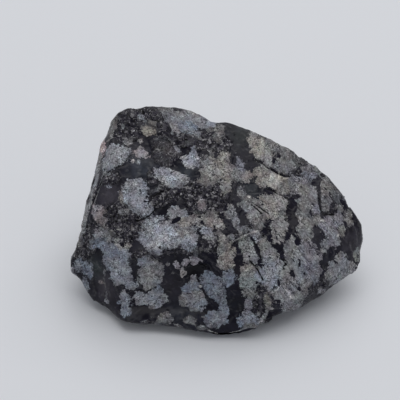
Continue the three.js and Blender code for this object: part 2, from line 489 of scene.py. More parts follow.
def nearness(right, up, reach):
    """1 at a mark, and less around it: a bell that has nearly gone at twice the reach."""
    away = np.linalg.norm(places - mark(right, up)[0], axis=1)
    return np.exp(-((away / reach) ** 2))


for right, up, reach, amount in NUDGES:
    relief += amount * nearness(right, up, reach)
relief *= smooth_step(places[:, 2], *RELIEF_STARTS)
moved = places + outward * relief[:, None]
moved[:, 2] = np.maximum(moved[:, 2], 0)
print(len(NUDGES), "nudges")
print("relief from", round(float(relief.min()), 2), "to", round(float(relief.max()), 2), "mm")

# %% [markdown]
# ## The foot of the stone
#
# How dark the floor's shadow is depends on how the foot overhangs. The rim of the front is drawn
# towards the camera, so that it stands off the floor and shades it, and the underside of the right
# end is drawn away from it, so that it shades less. Both moves run along the line of sight, which
# hardly changes the outline that the camera sees. Painting a shadow on the floor would be quicker,
# but it would be wrong from every other side.

# %% Front rim and right underside
# how far each is moved, and the limits between which the move fades in or out, in millimetres;
# the rim stays KEPT_INSIDE the front of the solid's box
OVERHANG_REACH = 2.3
OVERHANG_FRONT = (15.0, 18.0)
OVERHANG_TOP = (2.5, 7.0)
OVERHANG_LEFT = (-26, -20)
OVERHANG_RIGHT = (12, 15)
KEPT_INSIDE = 0.05
TUCK_REACH = 2.2
TUCK_LEFT = (16.0, 24.0)
TUCK_TOP = (9.0, 18.0)
TUCK_FOOT = (0.0, 4.0)

x, y, z = places[:, 0], places[:, 1], places[:, 2]
low_mm = np.array(stone_low) / MM
high_mm = np.array(stone_high) / MM
overhang = smooth_step(-y, *OVERHANG_FRONT) * (1 - smooth_step(z, *OVERHANG_TOP))
overhang *= smooth_step(x, *OVERHANG_LEFT) * (1 - smooth_step(x, *OVERHANG_RIGHT))
room = np.maximum(0, moved[:, 1] - low_mm[1] - KEPT_INSIDE) / math.cos(ELEVATION)
moved += (overhang * np.minimum(OVERHANG_REACH, room))[:, None] * back_axis
tuck = smooth_step(x, *TUCK_LEFT) * (1 - smooth_step(z, *TUCK_TOP))
tuck *= smooth_step(z, *TUCK_FOOT)
moved -= (tuck * TUCK_REACH)[:, None] * back_axis
moved = np.clip(moved, low_mm, high_mm)
for vertex, place in zip(skin.verts, moved):
    vertex.co = place * MM
skin.normal_update()
print("furthest move, mm:", round(float(np.linalg.norm(moved - places, axis=1).max()), 2))

# %% [markdown]
# ## The snowflakes
#
# Each snowflake is a ball of crystal cut open, so on the stone it is a rounded patch with a lobed
# rim. Those on the front and top are placed one by one, since where they lie and how they touch is
# what makes this stone itself. A line holds: right, up, half width, half height, turn, tint. Several
# ellipses that overlap make one irregular patch. A random scatter would give a stone of the right
# kind, but not this one. The tints are colours in linear light, each a little bluer, browner or
# greener than plain grey, because that is how the crystal differs from patch to patch.

# %% Tints of the crystal
TINTS = {
    "cloud": (0.370, 0.385, 0.430),
    "mist": (0.310, 0.328, 0.370),
    "slate": (0.225, 0.252, 0.305),
    "ash": (0.262, 0.266, 0.284),
    "sand": (0.280, 0.272, 0.268),
    "beige": (0.318, 0.312, 0.294),
    "rose": (0.255, 0.240, 0.243),
    "lilac": (0.222, 0.222, 0.255),
    "stone": (0.185, 0.186, 0.192),
    "moss": (0.235, 0.252, 0.250),
    "lead": (0.152, 0.152, 0.160),
    "dusk": (0.120, 0.122, 0.132),
    "umber": (0.090, 0.086, 0.096),
    "pearl": (0.420, 0.425, 0.430),
    "coral": (0.540, 0.440, 0.450),
    "petal": (0.370, 0.345, 0.368),
    "bone": (0.420, 0.410, 0.385),
    "chalk": (0.560, 0.560, 0.570),
}
print(len(TINTS), "tints")

# %% Snowflakes on the top
TOP_FLAKES = [
    # crown, left
    (-12, 16.2, 1.8, 1.2, -8, "bone"), (-11.4, 17.9, 1, 0.7, 0, "sand"), (-13.8, 19.3, 0.9, 0.8, 0, "mist"),
    (-19.5, 10.6, 2.9, 2.5, 0, "mist"), (-21.2, 9, 1.9, 2.4, -25, "mist"), (-17, 13.6, 1.2, 0.8, 0, "ash"),
    (-13.7, 10.8, 1.8, 1, -10, "petal"), (-14, 13.8, 0.6, 0.6, 0, "rose"), (-14, 12.2, 0.5, 0.5, 0, "rose"),
    (-15.8, 9.1, 0.4, 0.4, 0, "chalk"), (-14.5, 8.8, 0.6, 0.6, 0, "ash"), (-18, 16.9, 0.4, 0.7, 0, "ash"),
    (-15.5, 16, 0.35, 0.35, 0, "chalk"), (-22.7, 12.4, 0.8, 1.9, 0, "coral"),
    (-23.9, 8, 0.8, 2.4, 0, "ash"), (-20.3, 17, 0.7, 2.6, -12, "stone"), (-8.2, 11.5, 2.6, 3.4, 0, "umber"),
    (-11.9, 17.6, 1.3, 0.8, 0, "umber"),
    # crest
    (-8.1, 20.9, 1.8, 0.9, -20, "stone"), (-6.8, 19.3, 1.3, 1.7, -30, "ash"),
    (-5.6, 17, 1.2, 2.2, 0, "ash"), (-2.4, 19.2, 3.6, 1.6, -12, "ash"), (-3.4, 17.2, 2.8, 1.6, 0, "slate"),
    (1.2, 18, 2.2, 1.4, -25, "mist"), (2.2, 16.5, 0.9, 0.9, 0, "lead"), (-0.6, 15.5, 0.9, 0.7, 0, "mist"),
    (4.4, 15.6, 1.2, 2.2, -10, "stone"), (-5.6, 11.7, 0.9, 0.7, 0, "cloud"),
    (0, 14.4, 0.5, 0.5, 0, "stone"), (2.7, 11.5, 0.9, 1, 0, "dusk"), (-2.6, 13.4, 0.7, 0.6, 0, "dusk"),
    # middle
    (-2, 9.1, 2.1, 1.6, 0, "cloud"), (-1.5, 11.1, 0.8, 1.3, 0, "mist"), (-3.7, 9.9, 0.9, 0.6, 0, "pearl"),
    (3.2, 7, 3.1, 3, 0, "sand"), (1.4, 9, 1.5, 1.4, 0, "stone"), (5.6, 9.6, 1.2, 2, 0, "sand"),
    (2, 4.8, 2.2, 1.4, 0, "sand"), (6.3, 6.8, 1.9, 1.7, 0, "rose"), (6, 3.5, 1.3, 2.2, 0, "sand"),
    (8.7, 5.9, 2, 1.6, 0, "stone"), (10.6, 5.5, 1.7, 1.4, 0, "rose"), (9.5, 8, 0.9, 2.4, 20, "lilac"),
    (6.1, 10.8, 0.35, 0.3, 0, "chalk"), (-9, 6.1, 1.8, 1.6, -10, "cloud"),
    (-6.5, 5.2, 3.1, 1.8, -14, "cloud"), (-6, 3.7, 1.9, 1, 0, "mist"), (-11.7, 6, 0.5, 0.7, 0, "dusk"),
    (-3.6, 4.8, 1.2, 0.9, 0, "ash"),
    # left, the large one and its neighbours
    (-15.4, 3, 2.5, 2.1, 0, "mist"), (-13.7, 2.4, 1.5, 1.7, 0, "mist"), (-16.6, 0.9, 2.4, 1.7, 0, "mist"),
    (-13.6, -1.8, 2.7, 1.9, -20, "mist"), (-14.8, -0.6, 2.2, 1.6, 0, "cloud"),
    (-18.3, 0.8, 0.8, 1.5, 0, "sand"), (-18, -2.7, 1.2, 0.8, 0, "ash"), (-10.4, 2.3, 1.4, 0.5, 25, "dusk"),
    (-9, 3.3, 1.1, 0.5, 20, "dusk"), (-23.9, -2.9, 1.7, 1.9, 0, "petal"), (-22.6, -5, 0.8, 0.9, 0, "petal"),
    (-22.3, -6.6, 0.4, 0.8, 0, "stone"), (-21.3, 6, 0.4, 0.3, 0, "ash"), (-20, 5.8, 0.3, 0.3, 0, "ash"),
    (-21.5, 3.2, 0.8, 0.35, 0, "mist"),
    # the pale slab on the right, above its crack
    (12.7, 13.9, 1.8, 1.6, -35, "sand"), (14.3, 12, 2.3, 2.4, -35, "beige"),
    (17.2, 12.5, 2.9, 1.3, -32, "stone"), (15.4, 10.3, 2, 1.6, -35, "sand"),
    (19.4, 10.6, 2.3, 1.5, -38, "stone"), (18.7, 8.2, 2.3, 1.7, -30, "stone"),
    (20.7, 7.7, 1.7, 1.8, 0, "ash"), (22.6, 9.3, 1.9, 1.2, -38, "dusk"), (16.4, 8.7, 1.2, 0.8, -35, "sand"),
    # the slab below the crack, and the one under that
    (15, 6.3, 2.3, 2.1, 0, "sand"), (17.8, 4.7, 3, 2, -8, "bone"), (19.7, 3.2, 2.1, 1.9, 0, "beige"),
    (14.4, 4.2, 1.4, 1.3, 0, "sand"), (21.8, 3.4, 1.5, 2.4, 0, "ash"), (18.1, -0.6, 2.4, 2.4, 0, "sand"),
    (15.6, 0, 1.7, 1.2, -35, "sand"), (16.6, -2.8, 2.2, 1.7, -30, "sand"),
    (19.1, -3.2, 1.2, 1.2, 0, "stone"), (18.7, -6.4, 2, 2.1, 0, "sand"), (18.3, -8.5, 1.5, 1.6, 0, "sand"),
    # the feathers between
    (9.8, 1.5, 1, 1.8, 15, "dusk"), (11.2, -0.8, 1.6, 1.6, 20, "stone"), (12.5, -2.8, 2, 2.3, 25, "ash"),
    (13.5, -5.2, 1.6, 1.9, 20, "stone"), (14.7, -3.6, 1.3, 1.5, 0, "stone"),
    (13.4, -0.5, 1.3, 0.7, -20, "ash"), (7.3, -2.1, 0.8, 1.2, 10, "ash"), (7, -3.6, 1.4, 0.8, -30, "stone"),
    (8.4, -5, 0.9, 2, 10, "ash"), (11.4, 0.6, 0.4, 0.4, 0, "chalk"), (8.9, -1.2, 0.3, 0.6, 0, "stone"),
    (10.2, -6.9, 1, 0.8, 0, "ash"),
    # far right
    (25.4, 6.1, 1.7, 1.9, -30, "lilac"), (27.5, 6.4, 1.8, 1, -38, "stone"),
    (24.2, 4.4, 1.3, 1.4, 0, "lilac"), (24.6, 2.3, 2.1, 1.9, 0, "stone"), (26.3, 1.5, 1.3, 2, 0, "ash"),
    (25.2, -0.8, 2.5, 1.8, 0, "stone"), (24.8, -3.6, 2.2, 3, 0, "lead"), (24.8, -7.4, 2, 3.2, 0, "stone"),
    (27.1, -2.2, 1.2, 1.3, 0, "lilac"), (27.2, -4.7, 1.3, 1.2, 0, "stone"),
    (29.2, 2.5, 1.5, 2.4, 0, "stone"), (29.4, -0.6, 1.3, 2.2, 0, "ash"), (31.6, 1.4, 1.1, 2.2, 20, "dusk"),
    (29.5, -1.6, 0.5, 0.25, 0, "chalk"), (30.3, -6, 2.2, 2.4, 0, "lilac"),
    (32.4, -4.6, 1.4, 1.8, 0, "lilac"), (32.9, -2, 0.8, 1, 0, "stone"), (33.3, -7, 1, 1.3, 0, "stone"),
    (31.3, -9.4, 1.8, 1.9, 0, "lilac"), (29.2, -11, 1.1, 1.6, 0, "ash"), (34.6, -4, 1.2, 1.3, -20, "lead"),
    (35.3, -5.5, 0.8, 0.8, 0, "stone"), (29.2, -5, 1.2, 0.5, -8, "chalk"),
]
print(len(TOP_FLAKES), "on the top")

# %% Snowflakes on the front
FRONT_FLAKES = [
    # the largest one, under the left ledge
    (-10.6, -5.8, 2.5, 2, 0, "mist"), (-8.6, -7.8, 3.6, 3.2, 0, "cloud"),
    (-11.6, -8.9, 2.9, 1.9, 0, "mist"), (-10.6, -11.2, 2.1, 1.8, 0, "cloud"),
    (-7, -9.8, 2.4, 1.5, 0, "mist"), (-6.2, -6.2, 1.8, 1.7, 0, "lilac"), (-13.2, -6.3, 0.4, 0.9, 20, "ash"),
    (-16, -6.2, 0.3, 0.7, 0, "stone"), (-18.6, -7, 0.5, 0.3, 0, "chalk"),
    # middle
    (-5.8, -3, 1.8, 1.4, 0, "mist"), (-4, -3.4, 1, 0.8, 0, "mist"), (-3.8, -5.5, 1.9, 1.6, 0, "sand"),
    (-3.2, -7.2, 2.5, 1.4, 0, "ash"), (-2.8, -9.6, 2.2, 2.3, 0, "mist"), (-0.8, -4.5, 1.6, 1, 0, "rose"),
    (1.8, -4.8, 2.4, 1.8, 0, "rose"), (3.8, -5.6, 1.8, 1.6, 0, "rose"), (2.6, -3.1, 1.2, 0.7, 0, "rose"),
    (0.3, -1, 1, 1.5, 10, "petal"), (-0.6, -2.8, 1, 0.4, 0, "dusk"), (1.5, -7.2, 1.5, 1.2, 0, "mist"),
    (2.1, -8.5, 1.4, 0.9, 0, "ash"), (4, -7.6, 1.1, 0.8, 0, "lead"), (-1, -12.3, 0.6, 1.2, 0, "dusk"),
    (1.9, -11.6, 0.7, 0.25, 0, "stone"), (5.2, -9.2, 1, 1.1, 20, "pearl"), (6.2, -12.4, 2, 2.4, 0, "sand"),
    (6.1, -14.7, 1.9, 1.7, 0, "sand"), (6.8, -17.8, 1.5, 1.8, 0, "slate"), (6.7, -19.3, 1, 1, 0, "slate"),
    # small ones in the hollow
    (-7.5, -15, 0.5, 0.5, 0, "rose"), (-5.5, -15.3, 0.6, 1, 25, "petal"),
    (-6.4, -17.1, 0.4, 0.3, 0, "dusk"), (-3.4, -14.8, 0.7, 1.1, -25, "petal"),
    (-1.2, -14.2, 1.3, 0.9, 0, "petal"), (-1.4, -15.3, 0.7, 0.6, 0, "petal"),
    (0.3, -14.6, 0.2, 0.45, 30, "petal"), (-4.2, -17, 0.5, 1.1, 0, "petal"),
    (-3.6, -17.2, 0.5, 0.6, 0, "petal"),
    # lower left
    (-22.8, -10, 1.6, 2, 0, "slate"), (-22.9, -8, 2.2, 1.3, 0, "cloud"),
    (-20.7, -7.9, 0.9, 0.7, 20, "stone"), (-21.4, -9.4, 1.1, 0.9, 0, "cloud"),
    (-20.9, -12.2, 2, 2.2, 0, "slate"), (-19.8, -14.8, 2.9, 2.4, 0, "mist"),
    (-18.4, -17.2, 2.7, 2.7, 0, "mist"), (-19.5, -18.8, 1.1, 1.2, 0, "mist"),
    (-16.9, -19.3, 0.9, 1.8, 15, "mist"), (-19.2, -10.3, 0.7, 1.5, 28, "pearl"),
    (-17, -10.9, 0.9, 0.7, 30, "sand"), (-17.6, -12.7, 1.4, 1.1, 0, "mist"), (-25, -10.4, 1, 1, 0, "slate"),
    (-28.2, -8.8, 0.9, 2.2, -12, "moss"), (-27.9, -15.4, 1.6, 1.6, 0, "slate"),
    (-26, -16.6, 1.2, 1.7, 0, "slate"), (-26.8, -19.6, 0.8, 1.7, 12, "slate"),
    (-29.8, -16.4, 0.7, 0.9, 0, "mist"), (-23.1, -19.2, 0.6, 0.6, 0, "rose"),
    (-21.9, -23.8, 0.6, 0.6, 0, "ash"), (-28.2, -13.2, 0.35, 0.35, 0, "ash"),
    (-17.6, -23.3, 1.1, 2, 8, "mist"), (-17.3, -26, 1.2, 1.5, 0, "slate"),
    (-18.9, -24, 0.7, 0.4, 20, "slate"),
    # lower middle
    (-11.8, -17.6, 2.8, 3.4, 0, "ash"), (-12, -18, 1.5, 1.4, 0, "cloud"), (-9.2, -15.7, 0.8, 0.8, 0, "ash"),
    (-9, -17.2, 0.7, 0.6, 0, "ash"), (-12.9, -14.3, 1.8, 1.2, 0, "cloud"),
    (-10.3, -14.7, 0.7, 0.6, 0, "ash"), (-14.7, -18.6, 0.4, 0.8, 0, "lead"),
    (-15.4, -20.1, 0.8, 0.9, 0, "mist"), (-13.8, -23.1, 1.7, 1.7, 0, "mist"),
    (-10.3, -23.2, 2.5, 2, 0, "mist"), (-9.8, -21.2, 1.2, 1.2, 0, "slate"),
    (-11.2, -25.1, 0.9, 0.5, 0, "lead"), (-8.1, -27.6, 1.9, 1.5, 0, "stone"),
    (-10.4, -28.7, 1.9, 0.4, 0, "dusk"), (-13, -28.3, 1.2, 0.4, 10, "dusk"),
    (-2.4, -28, 1.5, 1, 0, "stone"), (-5, -29.3, 1.2, 0.35, -25, "dusk"),
    (0.4, -29.8, 1.3, 0.5, -10, "dusk"), (-1.6, -18.7, 0.8, 1, 0, "lilac"), (-2, -20.7, 2, 1.5, 0, "slate"),
    (-1.5, -23.1, 3.1, 2.2, 0, "ash"), (-0.2, -24.2, 1.8, 1.7, 0, "mist"),
    (-1.2, -25.5, 1.3, 0.6, 0, "lead"), (-3.9, -23.8, 1, 1, 0, "ash"), (2.3, -19, 2.4, 2.2, 0, "slate"),
    (3.8, -21.2, 2.2, 2.6, 15, "slate"), (5.3, -23.2, 1, 2.4, 10, "slate"), (5.6, -26, 1.2, 2, 0, "slate"),
    (3.9, -27.6, 2.7, 2, 15, "slate"), (2.5, -28.3, 1.5, 1.3, 0, "lilac"),
    (1.1, -27.3, 0.7, 0.25, 0, "dusk"), (0.1, -20.2, 0.3, 0.3, 0, "chalk"),
    # lower right, the two slanting bands
    (10.9, -10.4, 1.9, 2.2, 20, "moss"), (12, -12.9, 2, 2.1, 30, "ash"),
    (13.2, -8.5, 1.9, 1.1, -40, "cloud"), (15, -10.6, 1.5, 1.9, 25, "stone"),
    (16.3, -13.4, 2, 2.4, 25, "ash"), (17.3, -16, 2.8, 2.3, 0, "mist"), (16.8, -18.8, 2.6, 2.4, 0, "mist"),
    (19.2, -17.8, 1.6, 2.4, 0, "ash"), (18.6, -21.6, 2.5, 2.5, 0, "ash"), (11.7, -16.9, 2.3, 2, 0, "sand"),
    (11.8, -19.2, 2.6, 1.9, 0, "moss"), (11.6, -21.8, 1.7, 1.6, 0, "moss"),
    (13.6, -17.8, 1.3, 2.3, 20, "mist"), (11.3, -24.6, 0.9, 1.7, 0, "lilac"),
    (11.4, -27.6, 1.8, 1.5, 0, "mist"), (9.7, -28.3, 1, 1.4, 0, "slate"),
    (11.9, -29.2, 2.2, 0.7, 0, "stone"), (13.8, -26.5, 0.4, 0.4, 0, "ash"),
    (13.2, -28.6, 0.6, 1.2, -12, "slate"), (15.8, -23.8, 0.8, 1.6, 10, "beige"),
    (14.8, -27.6, 0.5, 1.9, -25, "pearl"), (16.6, -25.3, 0.8, 0.45, -30, "chalk"),
    (17.7, -20.9, 0.4, 0.3, 30, "chalk"), (7.5, -8.7, 0.5, 0.7, 30, "mist"),
    # lower right, the wide lilac field
    (21.3, -11.3, 1.7, 2.4, 0, "stone"), (22.7, -13.6, 2.7, 2.6, 0, "ash"),
    (25.2, -11.6, 2.6, 2.6, 0, "lilac"), (26.1, -13.9, 2.4, 2.4, 0, "lilac"),
    (24.6, -16.4, 2.6, 2.6, 0, "lilac"), (26.8, -16.2, 1.5, 2.8, 0, "lilac"),
    (27.6, -18, 0.8, 1.6, 0, "lilac"), (25.8, -18.7, 0.7, 1.4, 0, "ash"), (21.8, -16.8, 2.4, 2.2, 0, "ash"),
    (22.3, -19.7, 3.2, 2.5, 0, "ash"), (20.9, -22.6, 2.8, 2.3, 0, "ash"),
    (22.5, -23.4, 1.9, 1.7, 0, "moss"), (24.3, -21.8, 1.1, 1.8, 0, "stone"),
    # right end
    (33.4, -15.7, 2.9, 2.4, 0, "ash"), (31.7, -17.2, 2.2, 2.5, 0, "ash"),
    (33.1, -13.7, 1.3, 1.4, 20, "ash"), (35.6, -15.8, 1.4, 1.2, 0, "ash"),
    (33.2, -18.3, 2.3, 1.2, 25, "moss"), (37, -12.9, 0.9, 1.5, 0, "moss"), (28.8, -21.5, 1, 0.8, 0, "ash"),
    (32.3, -8.4, 0.4, 0.4, 0, "chalk"),
    # the shaded underside along the right bottom edge
    (33.3, -18.9, 2.6, 1.3, 28, "ash"), (35.6, -17.5, 1.6, 1.3, 35, "ash"),
    (21.6, -25, 2.6, 1.1, 14, "ash"),
]
print(len(FRONT_FLAKES), "on the front")

# %% [markdown]
# ## Dark inlets
#
# Between the lobes of a snowflake the glass reaches in, as little dark bays and slits. They are the
# same kind of ellipse, taken away from the crystal after all of it is laid. Building each patch from
# more and smaller ellipses would leave such bays open too, but would take many more of them.

# %% Dark inlets between the lobes
# right, up, half width, half height, turn: glass that reaches into a patch
INLETS = [
    (-5.6, -4.7, 1.1, 0.6, 30), (-14.7, -10.6, 0.9, 0.8, 0), (-12.4, -0.4, 1.2, 0.25, 0),
    (0.6, -5.3, 0.4, 0.7, 20), (3.4, -7.2, 0.5, 0.4, 0), (-18.3, -10.3, 0.35, 0.9, 28),
    (1.2, -22.2, 0.2, 1.5, 20), (2.6, -23.7, 0.7, 0.8, 20), (3.9, -24.7, 0.8, 0.45, 25),
    (-2.5, -21.9, 0.5, 0.2, 0), (21.6, -17.3, 0.55, 0.9, 15), (23.3, -15.2, 0.35, 0.7, 0),
    (24.5, -17.2, 0.2, 0.7, 25), (23.4, -21, 0.35, 0.9, 10), (26.1, -3.1, 0.3, 0.8, 15),
    (22.9, -9.7, 0.7, 1.1, 0), (18.5, -19.3, 0.3, 1.2, 10), (17.2, -20.6, 0.5, 0.35, 30),
    (17.8, -8, 0.18, 1.5, 12), (13.4, -11.7, 0.5, 2, 25), (27.2, 3.9, 1.1, 0.6, 10),
    (27.6, 2.9, 0.5, 0.8, 0), (28.1, -0.6, 0.4, 2, 5), (29.8, -3.3, 1.4, 0.4, -5), (22.4, 6.5, 0.9, 0.7, 0),
    (23.6, 7.8, 0.6, 0.5, 0), (18.3, 10.3, 0.45, 0.8, 15), (17.3, 9.2, 0.45, 0.7, -10),
    (14.9, 2.3, 1.3, 0.2, -12), (12.2, 2.7, 1.2, 1.5, -20), (30.6, -13.6, 1.2, 0.8, 0),
    (32, -14.7, 0.6, 0.35, -40), (35.4, -13.9, 0.5, 0.5, 0), (29.2, -15.8, 0.4, 1.4, -10),
    (28.7, -18.4, 0.6, 1.2, 0), (18.3, -23.9, 0.6, 0.6, 0), (22.2, 0.6, 1.4, 0.5, 10),
    (-5.9, 15.2, 0.5, 1, 0), (7.8, 9.6, 0.7, 1.6, 5), (5.7, 4.6, 0.25, 0.2, 0), (-20.4, -9.9, 0.5, 0.35, 0),
    (31.2, -11.3, 0.9, 0.35, 10), (16.9, -23, 0.3, 1.4, 35), (12.3, -9.4, 0.35, 0.6, 30),
    (8.8, -11.5, 0.35, 2, 8), (19.2, -13.2, 0.5, 1.4, 20), (14.2, -21, 1, 1.4, 10),
    (14.2, 9, 0.9, 0.35, -28), (17.5, 6.9, 1.6, 0.22, -35), (19.9, 5.8, 1.5, 0.32, -10),
    (6.6, 17.9, 2.6, 0.45, -18), (28.4, 5.4, 0.8, 0.4, -30), (27.2, -9.5, 1, 0.8, 0),
    (21.8, -3.6, 0.6, 1.6, 5), (0.8, -16.3, 1.5, 0.5, 0), (8.9, -15.6, 0.45, 1.8, 0),
    (28, 1.6, 0.4, 1.8, 5),
]
print(len(INLETS), "inlets")

# %% [markdown]
# ## Snowflakes on the unseen sides
#
# The camera never shows the back, the ends and the underside, but the crystals grew all through the
# stone, so the same kinds of patch go on there. They are dealt out by a seeded random draw that keeps
# them from piling up: a draw is dropped when it lands on a patch that is already there, or so near
# the seen side that it would show.

# %% Scattered snowflakes
BACK_TINTS = ["mist", "ash", "ash", "slate", "sand", "lilac", "moss"]
TRIES = 2600
# half width in millimetres: the least, what may come on top, and how strongly small ones are favoured
SMALLEST = 0.7
SIZE_RANGE = 3.3
SMALL_BIAS = 2.2
# a patch is widened by this factor, and its height is divided by it
LEAST_STRETCH = 0.75
STRETCH_RANGE = 0.5
# shares of a patch's size that it keeps clear of its neighbours' centres and of the seen side
ELBOW_ROOM = 0.72
CLEAR_OF_SEEN = 0.8
# any direction does here, as long as no part of the skin faces exactly that way
LEANING = [0.31, 0.17, 0.93]
random = np.random.RandomState(41)


def tangents(facing):
    """Two directions at right angles in the surface."""
    first = np.cross(facing, LEANING)
    first /= np.linalg.norm(first)
    return first, np.cross(facing, first)


flakes = []
for right, up, wide, high, turn, tint in TOP_FLAKES + FRONT_FLAKES:
    flakes.append((*mark(right, up), wide, high, turn, tint, (right_axis, up_axis)))
unseen = np.flatnonzero(hidden)
seen_places = places[~hidden]
for _ in range(TRIES):
    pick = unseen[random.randint(len(unseen))]
    size = SMALLEST + SIZE_RANGE * random.rand() ** SMALL_BIAS
    stretch = LEAST_STRETCH + STRETCH_RANGE * random.rand()
    turn = 360 * random.rand()
    tint = BACK_TINTS[random.randint(len(BACK_TINTS))]
    gaps = [
        np.linalg.norm(places[pick] - centre) - ELBOW_ROOM * max(wide, high)
        for centre, _, wide, high, *_ in flakes
    ]
    to_seen = np.linalg.norm(seen_places - places[pick], axis=1).min()
    if min(gaps) > ELBOW_ROOM * size and to_seen > CLEAR_OF_SEEN * size:
        sides = tangents(outward[pick])
        flakes.append((places[pick], outward[pick], size * stretch, size / stretch, turn, tint, sides))
print(len(flakes), "snowflakes in all")

# %% [markdown]
# ## Measuring the snowflakes at each vertex
#
# For every vertex the script asks how deep it lies inside the patch it is most inside of, how much
# deeper that is than the next one, and which way the patch's centre lies. Those numbers go to the
# material as attributes. Painting a texture would fix the grain at one size, but the material can
# roughen a measured depth as finely as it likes. Where two ellipses meet their depths are joined
# softly, so that a patch made of several has no sharp corners.

# %% Depth, seam and fibre of the snowflakes
# waves round a patch's rim, and how far each moves it, as a share of its size
LOBES = ((3, 0.07), (5, 0.07), (8, 0.05), (13, 0.035))
FULL_LOBES_AT = 1.5
SHADE_SPREAD = 0.12
UNION_SOFTNESS = 0.22
# small patches count as this wide when their depth is measured, so that noise can't swallow them
LEAST_STEEPNESS = 1.1
FAR_OUTSIDE = -3.0
# the fibres read coordinates that run round a patch and in from its rim, shifted for each patch
FIBRES_ROUND = 1.6
FIBRES_ALONG = 0.7
FIBRE_SHIFT = 5

depth = np.full(len(places), FAR_OUTSIDE)
second = np.full(len(places), FAR_OUTSIDE)
union = np.exp(depth / UNION_SOFTNESS)
tint_colour = np.zeros((len(places), 3))
fibre = np.zeros((len(places), 3))
for number, (place, facing, wide, high, turn, tint, sides) in enumerate(flakes):
    inside, bearing = ellipse_depth(places, place, facing, wide, high, turn, sides)
    size = math.sqrt(wide * high)
    rim = np.zeros(len(places))
    for count, reach in LOBES:
        rim += reach * np.sin(count * bearing + 2 * math.pi * random.rand())
    shade = 1 + SHADE_SPREAD * (random.rand() - 0.5)
    own_depth = (inside + rim * min(1, size / FULL_LOBES_AT)) * max(size, LEAST_STEEPNESS)
    front = own_depth > depth
    second = np.where(front, depth, np.maximum(second, own_depth))
    depth = np.where(front, own_depth, depth)
    union += np.exp(own_depth / UNION_SOFTNESS)
    tint_colour[front] = np.array(TINTS[tint]) * shade
    spokes = FIBRES_ROUND * size
    along = FIBRES_ALONG * inside * size + FIBRE_SHIFT * number
    ring = np.column_stack([np.cos(bearing) * spokes, np.sin(bearing) * spokes, along])
    fibre[front] = ring[front]

seam = depth - second
depth = UNION_SOFTNESS * np.log(union)
print("crystal share before the inlets:", round(float((depth > 0).mean()), 3))

# %% Inlets taken away
INLET_STEEPNESS = 1.6

for right, up, wide, high, turn in INLETS:
    inside, _ = ellipse_depth(places, *mark(right, up), wide, high, turn)
    depth = np.minimum(depth, -inside * INLET_STEEPNESS * math.sqrt(wide * high))
print("crystal share:", round(float((depth > 0).mean()), 3))

# %% [markdown]
# ## Glass tints and streaks
#
# The glass between the snowflakes is nearly black, but it leans brown, blue or green from place to
# place, and is paler where it is full of fine crystals. Each tint spreads softly round a mark. The
# blackest tint, in the hollow of the front, is painted shade: it darkens the glass where the recess
# lies in shade. A few streaks, where a break runs along a crystal layer, lie on the left edge and in
# the right half. The two pale ones along the foot are painted highlights, where its sharp lower edge
# catches the light. They are drawn along lines, as the cracks are, since a chain of ellipses would
# look like beads.

# %% Glass colour
# right, up, reach, colour
GLASS_TINTS_AND_SHADE = [
    (21.7, -3.5, 4, (0.0075, 0.0062, 0.0125)), (35.3, -9.5, 4, (0.0235, 0.0205, 0.0300)),
    (-24.4, -15.8, 2.5, (0.0155, 0.0245, 0.0280)), (-22, -21, 3, (0.0370, 0.0325, 0.0435)),
    (-6.8, -20.5, 4, (0.0195, 0.0170, 0.0250)), (8.7, -16.4, 2.5, (0.0125, 0.0100, 0.0165)),
    (-14, 7.6, 3.4, (0.0420, 0.0470, 0.0610)), (8, -24, 3, (0.0026, 0.0032, 0.0085)),
    (12, 2.6, 2.6, (0.0150, 0.0190, 0.0255)), (-21.2, 1.4, 3.6, (0.0600, 0.0560, 0.0700)),
    # the last tint here, in the hollow of the front, is painted shade: glass made blacker where it lies in
    # shade
    (-4.5, -26.5, 4, (0.0220, 0.0240, 0.0340)), (-1, -16.2, 4, (0.0022, 0.0022, 0.0050)),
    (27.3, -9.3, 2, (0.0330, 0.0320, 0.0430)), (-12.5, -12.8, 3.5, (0.0360, 0.0350, 0.0430)),
    (9.8, 14.8, 3, (0.0200, 0.0240, 0.0280)), (-3.2, 6.6, 2.2, (0.0320, 0.0370, 0.0480)),
    (-8.4, 1, 3, (0.0150, 0.0150, 0.0180)),
]
PLAIN_GLASS = [0.0064, 0.0058, 0.0140]

glass_colour = np.tile(PLAIN_GLASS, (len(places), 1))
for right, up, reach, colour in GLASS_TINTS_AND_SHADE:
    near = nearness(right, up, reach)[:, None]
    glass_colour = glass_colour * (1 - near) + np.array(colour) * near
print(len(GLASS_TINTS_AND_SHADE), "tints in the glass")

